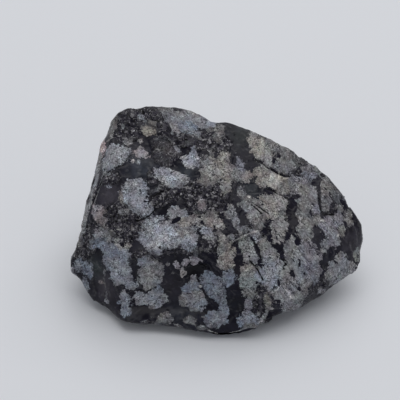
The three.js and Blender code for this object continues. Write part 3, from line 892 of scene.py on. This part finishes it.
# %% Streaks
# half width, tint, and the marks the streak passes
STREAKS_AND_EDGE_HIGHLIGHTS = [
    (0.60, "stone", [(-19.3, 19.4), (-20.1, 17.4), (-20.9, 15), (-21.4, 14)]),
    (1.20, "ash", [(-23.3, 10), (-23.8, 8), (-24.2, 4.8), (-25.2, 1.4)]),
    (1.00, "ash", [(-25.3, 1.4), (-26, -1), (-26.9, -4.4), (-27.6, -7.6), (-28.1, -10.2)]),
    (0.38, "ash", [(-21.8, 7.6), (-22.7, 5.6), (-23.5, 3.4), (-24.2, 1.4), (-24.8, -0.4)]),
    (0.16, "umber", [(-23, 9), (-23.4, 7), (-23.5, 5.2)]),
    (0.14, "umber", [(-24.2, 3.8), (-24.9, 1.2), (-25.6, -1.6)]),
    (0.22, "chalk", [(6.4, -10), (8.2, -9.5), (9.2, -9), (11, -8.1), (13.4, -7.3)]),
    (0.30, "chalk", [(19.8, -20.2), (20.3, -21), (20.8, -21.8), (21.4, -23)]),
    (0.25, "chalk", [(17.8, -21.3), (18.3, -20.8), (18.8, -20.1)]),
    (0.20, "pearl", [(4.2, 15.4), (4.9, 14.2), (5.8, 12.6)]),
    (0.20, "pearl", [(-5.6, -6.8), (-4.6, -8), (-3.8, -9.2)]),
    (0.18, "ash", [(29.3, -16.3), (29.6, -17.2), (30.1, -18.4)]),
    (0.15, "chalk", [(32.8, -16.4), (33.3, -17), (33.8, -17.5)]),
    (0.18, "ash", [(-9, 20.2), (-7.6, 18.6), (-6.5, 17), (-6.3, 14.6)]),
    (0.35, "dusk", [(-22.4, -16.5), (-22.5, -18.6), (-22, -21), (-21.8, -23.6)]),
    # the last two streaks are painted highlights: pale lines where the lower edge of the foot catches the
    # light
    (0.22, "pearl", [(0.2, -29.3), (2.4, -30.5), (4.7, -31.4)]),
    (0.22, "pearl", [(5.4, -31.3), (8, -30.8), (10.4, -30)]),
]
STEEPEST_STREAK = 2

# the painted highlights of the foot go into the crystal's depth and tint, like every streak
for half_width, tint, marks in STREAKS_AND_EDGE_HIGHLIGHTS:
    own_depth = (half_width - distance_to_marks(marks)) * min(STEEPEST_STREAK, 1 / half_width)
    front = own_depth > 0
    depth = np.where(front, np.maximum(own_depth, depth), depth)
    seam = np.where(front, 1.0, seam)
    tint_colour[front] = TINTS[tint]
print(len(STREAKS_AND_EDGE_HIGHLIGHTS), "streaks")

# %% [markdown]
# ## The direction of the grain
#
# On the right half everything is drawn out along one slanting direction, down to the right. Shader
# noise can be drawn out by squeezing the coordinates it reads, so each vertex carries its own squeezed
# coordinates. The squeeze grows slowly from left to right, and the noise bends smoothly into it. A
# Mapping node could only squeeze the whole stone alike.

# %% Flowing coordinates
STEEPNESS_OF_SLANT = 1.3
STRONGEST_SQUEEZE = 0.58
SQUEEZE_GROWS = (4, 20)

slant = right_axis - up_axis * STEEPNESS_OF_SLANT
slant = slant / np.linalg.norm(slant)
squeeze = STRONGEST_SQUEEZE * smooth_step(places[:, 0], *SQUEEZE_GROWS)
flow = places - (squeeze * (places @ slant))[:, None] * slant
print("squeezed share:", round(float((squeeze > 0).mean()), 3))

# %% [markdown]
# ## Worn edges
#
# The sharpest edges of a broken stone are the first to be bruised, and a bruise in glass is pale.
# Each vertex is set against the middle of its neighbours: where it stands proud, the edge is sharp.
# A shader can find edges too, by the Pointiness of the Geometry node, but measuring them here keeps
# them the same in every renderer.

# %% Worn edges
# from which height above its neighbours, in millimetres, a vertex starts to be worn, and is fully so
WORN_FROM = (0.015, 0.06)


def sharpness(mesh):
    """How far each vertex stands proud of its neighbours, in millimetres."""
    proud = np.zeros(len(mesh.verts))
    for v in mesh.verts:
        around = sum((e.other_vert(v).co for e in v.link_edges), Vector()) / len(v.link_edges)
        proud[v.index] = (v.co - around).dot(v.normal) / MM
    return proud


skin.verts.index_update()
worn = smooth_step(sharpness(skin), *WORN_FROM)
print("worn share:", round(float(worn.mean()), 3))

# %% [markdown]
# ## The mesh and what it carries
#
# The shape and all that was measured on it now go into one mesh, each measured value as an attribute
# with a name of its own, which the material can read. Vertex groups would hold the single numbers,
# but only those between 0 and 1, and no directions or colours.

# %% Mesh and attributes
stone_mesh = bpy.data.meshes.new("obsidian_skin")
skin.to_mesh(stone_mesh)
skin.free()
stone_mesh.polygons.foreach_set("use_smooth", [True] * len(stone_mesh.polygons))


def keep_values(mesh, name, values):
    """Stores one number, or one vector of three, for each vertex."""
    kind, field = ("FLOAT", "value") if values.ndim == 1 else ("FLOAT_VECTOR", "vector")
    mesh.attributes.new(name, kind, "POINT").data.foreach_set(field, values.astype(np.float32).ravel())


for name, values in {
    "crystal_depth": depth,
    "crystal_seam": seam,
    "crystal_tint": tint_colour,
    "fibre": fibre,
    "torn": torn,
    "calm": calm,
    "crack_gap": crack_gap,
    "glass_tint_and_shade": glass_colour,
    "flow": flow,
    "worn": worn,
}.items():
    keep_values(stone_mesh, name, values)
stone = put_in_scene("obsidian_skin", stone_mesh)
print(len(stone_mesh.polygons), "triangles,", len(stone_mesh.attributes), "attributes")

# %% [markdown]
# ## Shader groups
#
# A mottled grain and scattered specks are needed several times, each time with other values, and a
# rim broken into lobes is easier to follow as a block of its own. Each is built once as a node group
# with named inputs and outputs. Copying the nodes each time would work, but a change would have to be
# made in every copy. First come the helpers that keep the node code short: one makes a group, and the
# others make one node each.

# %% Group helpers
FLOAT = "NodeSocketFloat"
VECTOR = "NodeSocketVector"


def new_group(name, inputs, outputs):
    """A node group with its input and output sockets, each named with its kind and any default."""
    group = bpy.data.node_groups.new(name, "ShaderNodeTree")
    for socket_name, kind, *default in inputs:
        socket = group.interface.new_socket(socket_name, in_out="INPUT", socket_type=kind)
        if default:
            socket.default_value = default[0]
    for socket_name, kind in outputs:
        group.interface.new_socket(socket_name, in_out="OUTPUT", socket_type=kind)
    return group, group.nodes.new("NodeGroupInput").outputs, group.nodes.new("NodeGroupOutput").inputs


def maths(tree, operation, first, second=0.0, third=0.0):
    """The output of one Math node."""
    return add_node(
        tree, "ShaderNodeMath", {0: first, 1: second, 2: third}, operation=operation
    ).outputs["Value"]


def vector_maths(tree, operation, first, second):
    """The output of one Vector Math node; the second input is a vector, or a factor for SCALE."""
    second_name = "Scale" if operation == "SCALE" else 1
    return add_node(
        tree, "ShaderNodeVectorMath", {0: first, second_name: second}, operation=operation
    ).outputs["Vector"]


def between(tree, value, low, high, to_low=0.0, to_high=1.0):
    """A value that runs from to_low to to_high while the input runs from low to high."""
    sockets = {"Value": value, "From Min": low, "From Max": high, "To Min": to_low, "To Max": to_high}
    return add_node(tree, "ShaderNodeMapRange", sockets, clamp=True).outputs["Result"]


def noise_node(tree, place, scale, detail=2.0, roughness=0.5):
    """A Noise Texture with scale waves to the millimetre and detail finer octaves."""
    sockets = {"Vector": place, "Scale": scale, "Detail": detail, "Roughness": roughness}
    return add_node(tree, "ShaderNodeTexNoise", sockets)


def noise_value(tree, place, scale, detail=2.0, roughness=0.5):
    """Smooth noise around 0.5."""
    return noise_node(tree, place, scale, detail, roughness).outputs["Fac"]


def cell_node(tree, place, scale):
    """A Voronoi Texture with scale cells to the millimetre."""
    return add_node(tree, "ShaderNodeTexVoronoi", {"Vector": place, "Scale": scale})


def cell_draw(tree, cells):
    """A number between 0 and 1 that differs from cell to cell."""
    return add_node(tree, "ShaderNodeSeparateColor", {"Color": cells.outputs["Color"]}).outputs["Red"]


def blend_colours(tree, share, first, second, blend_type="MIX"):
    """Two colours mixed by a share."""
    node = add_node(tree, "ShaderNodeMix", data_type="RGBA", blend_type=blend_type)
    for index, value in ((0, share), (6, first), (7, second)):
        if isinstance(value, bpy.types.NodeSocket):
            tree.links.new(value, node.inputs[index])
        else:
            node.inputs[index].default_value = value
    return node.outputs[2]


print("helpers ready")

# %% [markdown]
# ## Mottled grain
#
# Both the crystal and the torn glass are made of crumbs of slightly different shade. The group draws a
# shade for each cell of a Voronoi texture and adds smooth noise, and puts out a factor around 1 that
# a colour is multiplied by. Noise alone would look cloudy, and cells alone would look like mosaic.

# %% Mottled grain
CRUMB_SHARE = 1.3
WAVE_SHARE = 1.3
WAVES_PER_CRUMB = 0.7

mottle, given, out = new_group(
    "Mottled grain",
    [("Place", VECTOR), ("Scale", FLOAT, 3.0), ("Contrast", FLOAT, 0.2)],
    [("Shade", FLOAT)],
)
crumb = cell_draw(mottle, cell_node(mottle, given["Place"], given["Scale"]))
wave_scale = maths(mottle, "MULTIPLY", given["Scale"], WAVES_PER_CRUMB)
wave = noise_value(mottle, given["Place"], wave_scale, 2.0, 0.6)
# crumb and wave both lie around 0.5, so taking 1.3 away leaves their sum around 0
both = maths(mottle, "MULTIPLY_ADD", crumb, CRUMB_SHARE, -0.5 * (CRUMB_SHARE + WAVE_SHARE))
both = maths(mottle, "MULTIPLY_ADD", wave, WAVE_SHARE, both)
mottle.links.new(maths(mottle, "MULTIPLY_ADD", both, given["Contrast"], 1.0), out["Shade"])
print(mottle.name)

# %% [markdown]
# ## Lobed rim
#
# A snowflake grows in lobes, and its rim is frayed between them. The group takes the depth measured
# at the vertices and adds round cells of two sizes and some noise to it before it cuts it at 0, so
# the rim is far finer than the mesh. Moving the vertices to the rim would need millions of faces.

# %% Lobed rim
SMALL_LOBES_PER_LOBE = 2.3
SMALL_LOBE_SHARE = 0.5
FRAYS_PER_LOBE = 2.2

lobed, given, out = new_group(
    "Lobed rim",
    [
        ("Place", VECTOR),
        ("Depth", FLOAT),
        ("Lobes per mm", FLOAT, 1.0),
        ("Lobe reach", FLOAT, 0.6),
        ("Fray reach", FLOAT, 0.3),
        ("Softness", FLOAT, 0.1),
    ],
    [("Mask", FLOAT), ("Lobe edge", FLOAT)],
)
lobe_distance = cell_node(lobed, given["Place"], given["Lobes per mm"]).outputs["Distance"]
lobe = maths(lobed, "SUBTRACT", 0.5, lobe_distance)
small_scale = maths(lobed, "MULTIPLY", given["Lobes per mm"], SMALL_LOBES_PER_LOBE)
small_distance = cell_node(lobed, given["Place"], small_scale).outputs["Distance"]
small_lobe = maths(lobed, "SUBTRACT", 0.5, small_distance)
both_lobes = maths(lobed, "MULTIPLY_ADD", small_lobe, SMALL_LOBE_SHARE, lobe)
fray_scale = maths(lobed, "MULTIPLY", given["Lobes per mm"], FRAYS_PER_LOBE)
fray = noise_value(lobed, given["Place"], fray_scale, 2.0, 0.7)
fray = maths(lobed, "MULTIPLY_ADD", fray, 2.0, -1.0)
ragged = maths(lobed, "MULTIPLY_ADD", both_lobes, given["Lobe reach"], given["Depth"])
ragged = maths(lobed, "MULTIPLY_ADD", fray, given["Fray reach"], ragged)
soft_low = maths(lobed, "MULTIPLY", given["Softness"], -0.5)
soft_high = maths(lobed, "MULTIPLY", given["Softness"], 0.5)
lobed.links.new(between(lobed, ragged, soft_low, soft_high), out["Mask"])
lobed.links.new(lobe_distance, out["Lobe edge"])
print(lobed.name)

# %% [markdown]
# ## Scattered specks
#
# Chalky specks and painted glints, pores and flecks all are small spots, some here and some there.
# The group puts a dot at the middle of a drawn share of Voronoi cells. The coordinates are bent by
# noise first, because straight ones give round dots, and no speck in a stone is round. Instanced
# grains of crystal would cost thousands of objects for the same look.

# %% Scattered specks
BENDS_PER_SPECK = 1.5
BEND_REACH = 1.6
HARD_CORE = 0.6

specks, given, out = new_group(
    "Scattered specks",
    [("Place", VECTOR), ("Specks per mm", FLOAT, 1.0), ("Size", FLOAT, 0.15), ("Share", FLOAT, 0.3)],
    [("Mask", FLOAT)],
)
bend_scale = maths(specks, "MULTIPLY", given["Specks per mm"], BENDS_PER_SPECK)
bend = noise_node(specks, given["Place"], bend_scale).outputs["Color"]
bend = vector_maths(specks, "SUBTRACT", bend, (0.5, 0.5, 0.5))
bend_reach = maths(specks, "DIVIDE", BEND_REACH, given["Specks per mm"])
bend = vector_maths(specks, "SCALE", bend, bend_reach)
bent = vector_maths(specks, "ADD", given["Place"], bend)
speck_cells = cell_node(specks, bent, given["Specks per mm"])
chosen = maths(specks, "LESS_THAN", cell_draw(specks, speck_cells), given["Share"])
size_inner = maths(specks, "MULTIPLY", given["Size"], HARD_CORE)
dot = between(specks, speck_cells.outputs["Distance"], size_inner, given["Size"], 1.0, 0.0)
specks.links.new(maths(specks, "MULTIPLY", chosen, dot), out["Mask"])
print(specks.name)

# %% [markdown]
# ## The stone's material
#
# One material holds both finishes, because they meet along rims far finer than the mesh. The lobed
# rim turns the measured depth into a mask. Where it is 1 the surface is crystal: grey, matt and
# mottled, with fibres that run out from each centre. Where it is 0 it is glass: nearly black, glossy
# where it broke clean and dull where it tore. All the clean glass shows is what it reflects, so its
# gloss comes from the shader's index of refraction and roughness, and no highlights are painted on
# it. Painted glints lie among the pale specks of the torn glass and of the crystal, and two painted
# highlights run along the foot.

# %% Material helpers
obsidian, obsidian_output = new_material("snowflake obsidian")
nodes = obsidian.node_tree


def attribute(name, output="Fac"):
    """One of the stone's own attributes."""
    return add_node(nodes, "ShaderNodeAttribute", attribute_name=name).outputs[output]


def grouped(group, **sockets):
    """The outputs of a group, with its inputs set; underscores in the names stand for spaces."""
    node = add_node(nodes, "ShaderNodeGroup", node_tree=group)
    for name, value in sockets.items():
        socket = node.inputs[name.replace("_", " ")]
        if isinstance(value, bpy.types.NodeSocket):
            nodes.links.new(value, socket)
        else:
            socket.default_value = value
    return node.outputs


def scaled(colour, shade):
    """A colour made lighter or darker by a shade."""
    return vector_maths(nodes, "SCALE", colour, shade)


def chained(operation, *values):
    """Several values taken together by one Math operation, such as MULTIPLY or MAXIMUM."""
    result = values[0]
    for value in values[1:]:
        result = maths(nodes, operation, result, value)
    return result


def folded(value, middle=0.5):
    """How far a noise is from its middle, which is 0 along thin winding lines."""
    return maths(nodes, "ABSOLUTE", maths(nodes, "SUBTRACT", value, middle))


flowing = attribute("flow", "Vector")
millimetres = scaled(add_node(nodes, "ShaderNodeTexCoord").outputs["Object"], 1 / MM)
fibres = attribute("fibre", "Vector")
print("helpers ready for", obsidian.name)

# %% [markdown]
# ## Where the stone is torn and where it is calm
#
# The zones measured at the vertices have soft, even margins, but the real ones are patchy. Noise is
# added to the torn value before it is cut, so islands of torn glass lie round each zone, which would
# take many small ellipses otherwise. The calm value works on the crystal: where it is 1, it halves
# how far the rims fray.

# %% Torn and calm
# noises here are given as waves to the millimetre, octaves and roughness
TORN_NOISE = (0.8, 4.0, 0.7)
TORN_NOISE_REACH = 2.2
CALM_LOSS = 0.5

ragged_torn = noise_value(nodes, flowing, *TORN_NOISE)
ragged_torn = maths(nodes, "MULTIPLY_ADD", ragged_torn, TORN_NOISE_REACH, -0.5 * TORN_NOISE_REACH)
torn_here = between(nodes, maths(nodes, "ADD", attribute("torn"), ragged_torn), 0.25, 0.65)
rough_share = maths(nodes, "MULTIPLY_ADD", attribute("calm"), -CALM_LOSS, 1.0)
print("torn zones ready")

# %% [markdown]
# ## Where the crystal is
#
# Up close the rim of a snowflake has round bumps with sharp notches between them, and beyond them
# little fronds. The bumps are noise folded at its middle, read along the fibres so that they run round
# each patch. The fronds are noise of the flowing coordinates, so they lean with the grain. Modelling
# them as ellipses as well would take thousands.

# %% Rim of the crystal
# how far each moves the rim, in millimetres, and what is taken away to keep its middle in place
BUMP_NOISE = (0.8, 2.0, 0.5)
BUMP_REACH, BUMP_MIDDLE = 1.6, 0.14
FROND_NOISE = (1.1, 3.0, 0.75)
FROND_REACH, FROND_MIDDLE = 2.3, 1.08
LOBE_REACH = 0.32
FRAY_REACH = 0.30

bumps = folded(noise_value(nodes, fibres, *BUMP_NOISE))
bumps = maths(nodes, "MULTIPLY_ADD", bumps, BUMP_REACH, -BUMP_MIDDLE)
frond = noise_value(nodes, flowing, *FROND_NOISE)
frond = maths(nodes, "MULTIPLY_ADD", frond, FROND_REACH, -FROND_MIDDLE)
frond = chained("MULTIPLY", frond, rough_share)
crystal_depth = attribute("crystal_depth")
rim = grouped(
    lobed,
    Place=flowing,
    Depth=chained("ADD", crystal_depth, bumps, frond),
    Lobes_per_mm=1.8,
    Lobe_reach=chained("MULTIPLY", rough_share, LOBE_REACH),
    Fray_reach=chained("MULTIPLY", rough_share, FRAY_REACH),
    Softness=0.08,
)
print("rim ready")

# %% [markdown]
# ## Gaps, holes and slits
#
# The crystal isn't whole inside its rim. Glass shows in the gaps where two snowflakes meet, in small
# holes, and in thin slits that wind across some places. Each is cut from the mask where a noise
# passes a limit: the gap's noise is set against the measured seam, the hole's against a high level,
# and the slit's is folded. Placing them one by one, as the inlets are, would never end.

# %% Gaps, holes and slits
GAP_NOISE = (1.0, 3.0, 0.6)
GAP_REACH, GAP_MIDDLE = 2.2, 1.38
HOLE_NOISE = (0.85, 3.0, 0.6)
SLIT_NOISE = (0.55, 3.0, 0.65)
SLIT_PLACES = (0.5, 2.0, 0.5)

gap_width = noise_value(nodes, flowing, *GAP_NOISE)
gap_width = maths(nodes, "MULTIPLY_ADD", gap_width, GAP_REACH, -GAP_MIDDLE)
crystal_seam = attribute("crystal_seam")
in_gap = between(nodes, chained("SUBTRACT", gap_width, crystal_seam), -0.08, 0.08)
in_hole = between(nodes, noise_value(nodes, flowing, *HOLE_NOISE), 0.655, 0.675)
slit = between(nodes, folded(noise_value(nodes, flowing, *SLIT_NOISE)), 0.010, 0.018, 0.9, 0.0)
slit_here = between(nodes, noise_value(nodes, millimetres, *SLIT_PLACES), 0.46, 0.56)
in_slit = chained("MULTIPLY", slit, slit_here)
whole = chained("SUBTRACT", 1.0, chained("MAXIMUM", in_gap, in_hole, in_slit))
crystal = chained("MULTIPLY", rim["Mask"], whole)
print("crystal mask ready")

# %% [markdown]
# ## Light and dark in the crystal
#
# Within one snowflake the grey changes on every scale: fine crumbs, broader clouds, spokes from the
# centre, a darker seam against its neighbour, a paler heart, shaded lobes and dark veins. Each is a
# factor around 1, and all are multiplied together, so any of them can be changed alone. Mixing
# towards light and dark colours would do as well, but each mix would weaken the ones before it.

# %% Fine grain
# the grain is stronger in some places than in others, by a slow noise
GRAIN_PLACES = (0.35, 2.0, 0.5)
GRAIN_RANGE = (0.5, 1.45)
GRAINS_PER_MM = 5.0
GRAIN_CONTRAST = 0.88

grain_share = between(nodes, noise_value(nodes, millimetres, *GRAIN_PLACES), 0.38, 0.62, *GRAIN_RANGE)
# half flowing and half straight coordinates, so the fine grain leans only a little
grain_place = scaled(vector_maths(nodes, "ADD", flowing, millimetres), 0.5)
fine_contrast = chained("MULTIPLY", rough_share, grain_share, GRAIN_CONTRAST)
fine_shade = grouped(mottle, Place=grain_place, Scale=GRAINS_PER_MM, Contrast=fine_contrast)["Shade"]
print("fine grain ready")

# %% Shades of the crystal
CLOUD_NOISE = (0.7, 4.0, 0.65)
CLOUD_RANGE = (0.74, 1.24)
SPOKES_PER_UNIT = 1.4
# the spokes stand out more where the crystal is calm
SPOKE_CONTRAST, CALM_SPOKE_CONTRAST = 0.38, 0.25
SEAM_RANGE = (0.86, 1.0)
HEART_RANGE = (0.90, 1.14)
LOBE_RANGE = (1.04, 0.92)
VEIN_NOISE = (0.6, 2.5, 0.6)
VEIN_RANGE = (0.5, 1.0)

cloud_shade = between(nodes, noise_value(nodes, flowing, *CLOUD_NOISE), 0.34, 0.66, *CLOUD_RANGE)
spoke_contrast = maths(nodes, "MULTIPLY_ADD", attribute("calm"), CALM_SPOKE_CONTRAST, SPOKE_CONTRAST)
spokes = grouped(mottle, Place=fibres, Scale=SPOKES_PER_UNIT, Contrast=spoke_contrast)["Shade"]
seam_shade = between(nodes, crystal_seam, 0.0, 0.25, *SEAM_RANGE)
heart_shade = between(nodes, crystal_depth, 0.0, 2.0, *HEART_RANGE)
lobe_shade = between(nodes, rim["Lobe edge"], 0.25, 0.8, *LOBE_RANGE)
vein = folded(noise_value(nodes, flowing, *VEIN_NOISE))
vein_shade = between(nodes, vein, 0.004, 0.016, *VEIN_RANGE)
crystal_shade = chained(
    "MULTIPLY", fine_shade, cloud_shade, spokes, seam_shade, heart_shade, lobe_shade, vein_shade
)
print("crystal shades ready")

# %% [markdown]
# ## Hue of the crystal
#
# The crystal drifts between cool and warm grey, and a little between pink and green. Two slow noises
# choose between pairs of tinting colours, and the patch's own tint is multiplied by both. A hue node
# would turn all colours by one angle, and near grey it hardly shows.

# %% Hue of the crystal
COOL, WARM = (0.96, 0.99, 1.05, 1), (1.04, 1.0, 0.96, 1)
PINK, GREEN = (1.03, 0.98, 1.015, 1), (0.97, 1.02, 0.99, 1)
WARMTH_NOISE = (0.3, 1.5, 0.5)
PINKNESS_NOISE = (0.7, 1.5, 0.5)

warmth = between(nodes, noise_value(nodes, millimetres, *WARMTH_NOISE), 0.36, 0.64)
pinkness = between(nodes, noise_value(nodes, flowing, *PINKNESS_NOISE), 0.35, 0.65)
drift = blend_colours(
    nodes,
    1.0,
    blend_colours(nodes, warmth, COOL, WARM),
    blend_colours(nodes, pinkness, PINK, GREEN),
    "MULTIPLY",
)
crystal_tint = blend_colours(nodes, 1.0, attribute("crystal_tint", "Color"), drift, "MULTIPLY")
crystal_colour = scaled(crystal_tint, crystal_shade)
print("crystal hue ready")

# %% [markdown]
# ## Specks, scratches and pores
#
# Chalky specks sit on the crystal, short pale scratches cross it in places, and dark pores open in
# it. The pale specks are partly chalk and partly painted glints, tiny points where light glances off
# the crystal. All three are laid over the colour one after another, each through its own mask:
# specks and pores from the group, scratches from folded noise. They are too fine to be worth any
# geometry.

# %% Specks, scratches and pores
CHALK_AND_GLINT = (0.62, 0.63, 0.66, 1)
SCRATCHED = (0.56, 0.56, 0.58, 1)
PORE = (0.02, 0.02, 0.026, 1)
SCRATCH_NOISE = (0.9, 2.0, 0.5)
SCRATCH_LEVEL = 0.47
SCRATCH_PLACES = (0.35, 2.0, 0.5)

# the chalk mask is partly painted glints of light off the crystal
chalk = grouped(specks, Place=millimetres, Specks_per_mm=2.6, Size=0.38, Share=0.14)["Mask"]
crystal_colour = blend_colours(nodes, chained("MULTIPLY", chalk, 0.8), crystal_colour, CHALK_AND_GLINT)
scratch = folded(noise_value(nodes, flowing, *SCRATCH_NOISE), SCRATCH_LEVEL)
scratch = between(nodes, scratch, 0.006, 0.016, 0.7, 0.0)
scratch_here = between(nodes, noise_value(nodes, millimetres, *SCRATCH_PLACES), 0.52, 0.58)
scratches = chained("MULTIPLY", scratch, scratch_here)
crystal_colour = blend_colours(nodes, scratches, crystal_colour, SCRATCHED)
pores = grouped(specks, Place=millimetres, Specks_per_mm=2.3, Size=0.34, Share=0.09)["Mask"]
crystal_colour = blend_colours(nodes, chained("MULTIPLY", pores, 0.85), crystal_colour, PORE)
print("crystal colour ready")

# %% [markdown]
# ## The glass
#
# Clean glass is nearly black. Torn glass is a shade greyer and mottled, and pale crumbs of crystal
# stick to it; its palest specks are partly painted glints, where light glances off the rough break.
# The torn mask chooses between the two colours, so one rule serves the whole stone. A second material
# for the torn zones would need their borders cut into the mesh.

# %% Clean and torn glass
GLASS_NOISE = (0.5, 4.0, 0.6)
GLASS_RANGE = (0.55, 1.45)
TORN_GREY = (0.0125, 0.0112, 0.0200)
DARKEST_TORN = 0.12
CRUMB_NOISE = (0.9, 4.0, 0.75)
CRUMB_GREY = (0.082, 0.077, 0.096, 1)

glass_shade = between(nodes, noise_value(nodes, millimetres, *GLASS_NOISE), 0.3, 0.7, *GLASS_RANGE)
# the glass tint includes the painted shade in the hollow of the front
glass_here = scaled(attribute("glass_tint_and_shade", "Vector"), glass_shade)
torn_shade = grouped(mottle, Place=millimetres, Scale=2.4, Contrast=1.6)["Shade"]
torn_grey = scaled(TORN_GREY, chained("MAXIMUM", torn_shade, DARKEST_TORN))
glass_here = blend_colours(nodes, torn_here, glass_here, torn_grey)
crumbs_here = between(nodes, noise_value(nodes, millimetres, *CRUMB_NOISE), 0.53, 0.56)
crumbs_here = chained("MULTIPLY", crumbs_here, torn_here)
glass_here = blend_colours(nodes, crumbs_here, glass_here, CRUMB_GREY)
print("clean and torn glass ready")

# %% Pale bits and painted glints in the torn glass
THREAD_NOISE = (0.8, 2.0, 0.5)
THREAD_PLACES = (0.6, 2.0, 0.5)
PALE_BIT_AND_GLINT = (0.33, 0.325, 0.345)

# the flecks and fine specks are partly painted glints off the rough break
flecks = grouped(specks, Place=flowing, Specks_per_mm=1.5, Size=0.60, Share=0.13)["Mask"]
fine_specks = grouped(specks, Place=millimetres, Specks_per_mm=2.8, Size=0.50, Share=0.15)["Mask"]
thread = between(nodes, folded(noise_value(nodes, flowing, *THREAD_NOISE)), 0.008, 0.022, 1.0, 0.0)
thread_here = between(nodes, noise_value(nodes, millimetres, *THREAD_PLACES), 0.52, 0.58)
threads = chained("MULTIPLY", thread, thread_here)
pale_bits_and_glints = chained("MAXIMUM", flecks, fine_specks, threads)
specks_here = chained("MULTIPLY", pale_bits_and_glints, torn_here)
speck_shade = grouped(mottle, Place=millimetres, Scale=1.3, Contrast=0.8)["Shade"]
glass_here = blend_colours(nodes, specks_here, glass_here, scaled(PALE_BIT_AND_GLINT, speck_shade))
print("pale bits ready")

# %% Worn edges of the glass
WORN_NOISE = (0.8, 3.0, 0.6)
WORN_STRENGTH = 0.4
WORN_GREY = (0.18, 0.18, 0.185, 1)

worn_here = noise_value(nodes, flowing, *WORN_NOISE)
worn_here = chained("MULTIPLY", attribute("worn"), worn_here, WORN_STRENGTH)
glass_here = blend_colours(nodes, worn_here, glass_here, WORN_GREY)
print("glass colour ready")

# %% [markdown]
# ## Cracks and gloss
#
# The crystal's mask puts the two colours together, and the cracks run across both as near-black
# lines of painted shade, the shade that falls inside a crack. A crack is wider in one place than in
# the next, so noise sets its width and the measured distance is compared with it. Roughness follows
# the same masks: clean glass is glossy, torn glass half dull and crystal matt. A separate coat of
# gloss isn't needed, as obsidian is one bare surface.

# %% Colour and roughness
CRACK_NOISE = (1.6, 2.0, 0.5)
CRACK_REACH, CRACK_MIDDLE = 0.5, 0.08
CRACK_SHADE_BLACK = (0.003, 0.003, 0.004, 1)
CLEAN_ROUGHNESS = 0.18
TORN_ROUGHNESS = 0.5
CRYSTAL_ROUGHNESS = 0.6

crack_width = noise_value(nodes, flowing, *CRACK_NOISE)
crack_width = maths(nodes, "MULTIPLY_ADD", crack_width, CRACK_REACH, -CRACK_MIDDLE)
painted_crack_shade = between(nodes, chained("SUBTRACT", crack_width, attribute("crack_gap")), -0.06, 0.06)
stone_colour = blend_colours(nodes, crystal, glass_here, crystal_colour)
# painted shade: near-black inside the cracks, over glass and crystal alike
stone_colour = blend_colours(nodes, painted_crack_shade, stone_colour, CRACK_SHADE_BLACK)
glass_roughness = between(nodes, torn_here, 0.0, 1.0, CLEAN_ROUGHNESS, TORN_ROUGHNESS)
matt = chained("MAXIMUM", crystal, chained("MULTIPLY", specks_here, 0.8))
roughness = between(nodes, matt, 0.0, 1.0, glass_roughness, CRYSTAL_ROUGHNESS)
print("colour and roughness ready")

# %% [markdown]
# ## The last fine relief
#
# Below about a third of a millimetre the mesh can't follow the break any more, so the finest relief
# is a Bump node's: strong where the glass is torn, weak on the crystal and almost nothing on clean
# glass. The shader's index of refraction is that of volcanic glass, and its specular level is low,
# which keeps the clean faces black under a pale surrounding.

# %% Fine relief and shader
RELIEF_NOISE = (3.0, 3.0, 0.6)
RELIEF_HEIGHT = 0.6 * MM
CRYSTAL_RELIEF = 0.2
LEAST_RELIEF = 0.04
REFRACTION = 1.49
SPECULAR = 0.16

crystal_relief = chained("MULTIPLY", crystal, rough_share, CRYSTAL_RELIEF)
relief_share = chained("MAXIMUM", torn_here, crystal_relief, LEAST_RELIEF)
fine_height = chained("MULTIPLY", noise_value(nodes, millimetres, *RELIEF_NOISE), relief_share)
bump = add_node(
    nodes, "ShaderNodeBump", {"Strength": 1.0, "Distance": RELIEF_HEIGHT, "Height": fine_height}
)
shader = add_node(
    nodes,
    "ShaderNodeBsdfPrincipled",
    {
        "Base Color": stone_colour,
        "Roughness": roughness,
        "Normal": bump.outputs["Normal"],
        "IOR": REFRACTION,
        "Specular IOR Level": SPECULAR,
    },
)
nodes.links.new(shader.outputs["BSDF"], obsidian_output.inputs["Surface"])
stone_mesh.materials.append(obsidian)
print(len(nodes.nodes), "nodes in the stone's material")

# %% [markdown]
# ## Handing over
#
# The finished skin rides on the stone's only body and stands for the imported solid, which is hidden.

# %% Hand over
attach(stone, "root")
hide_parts("obsidian_lump")
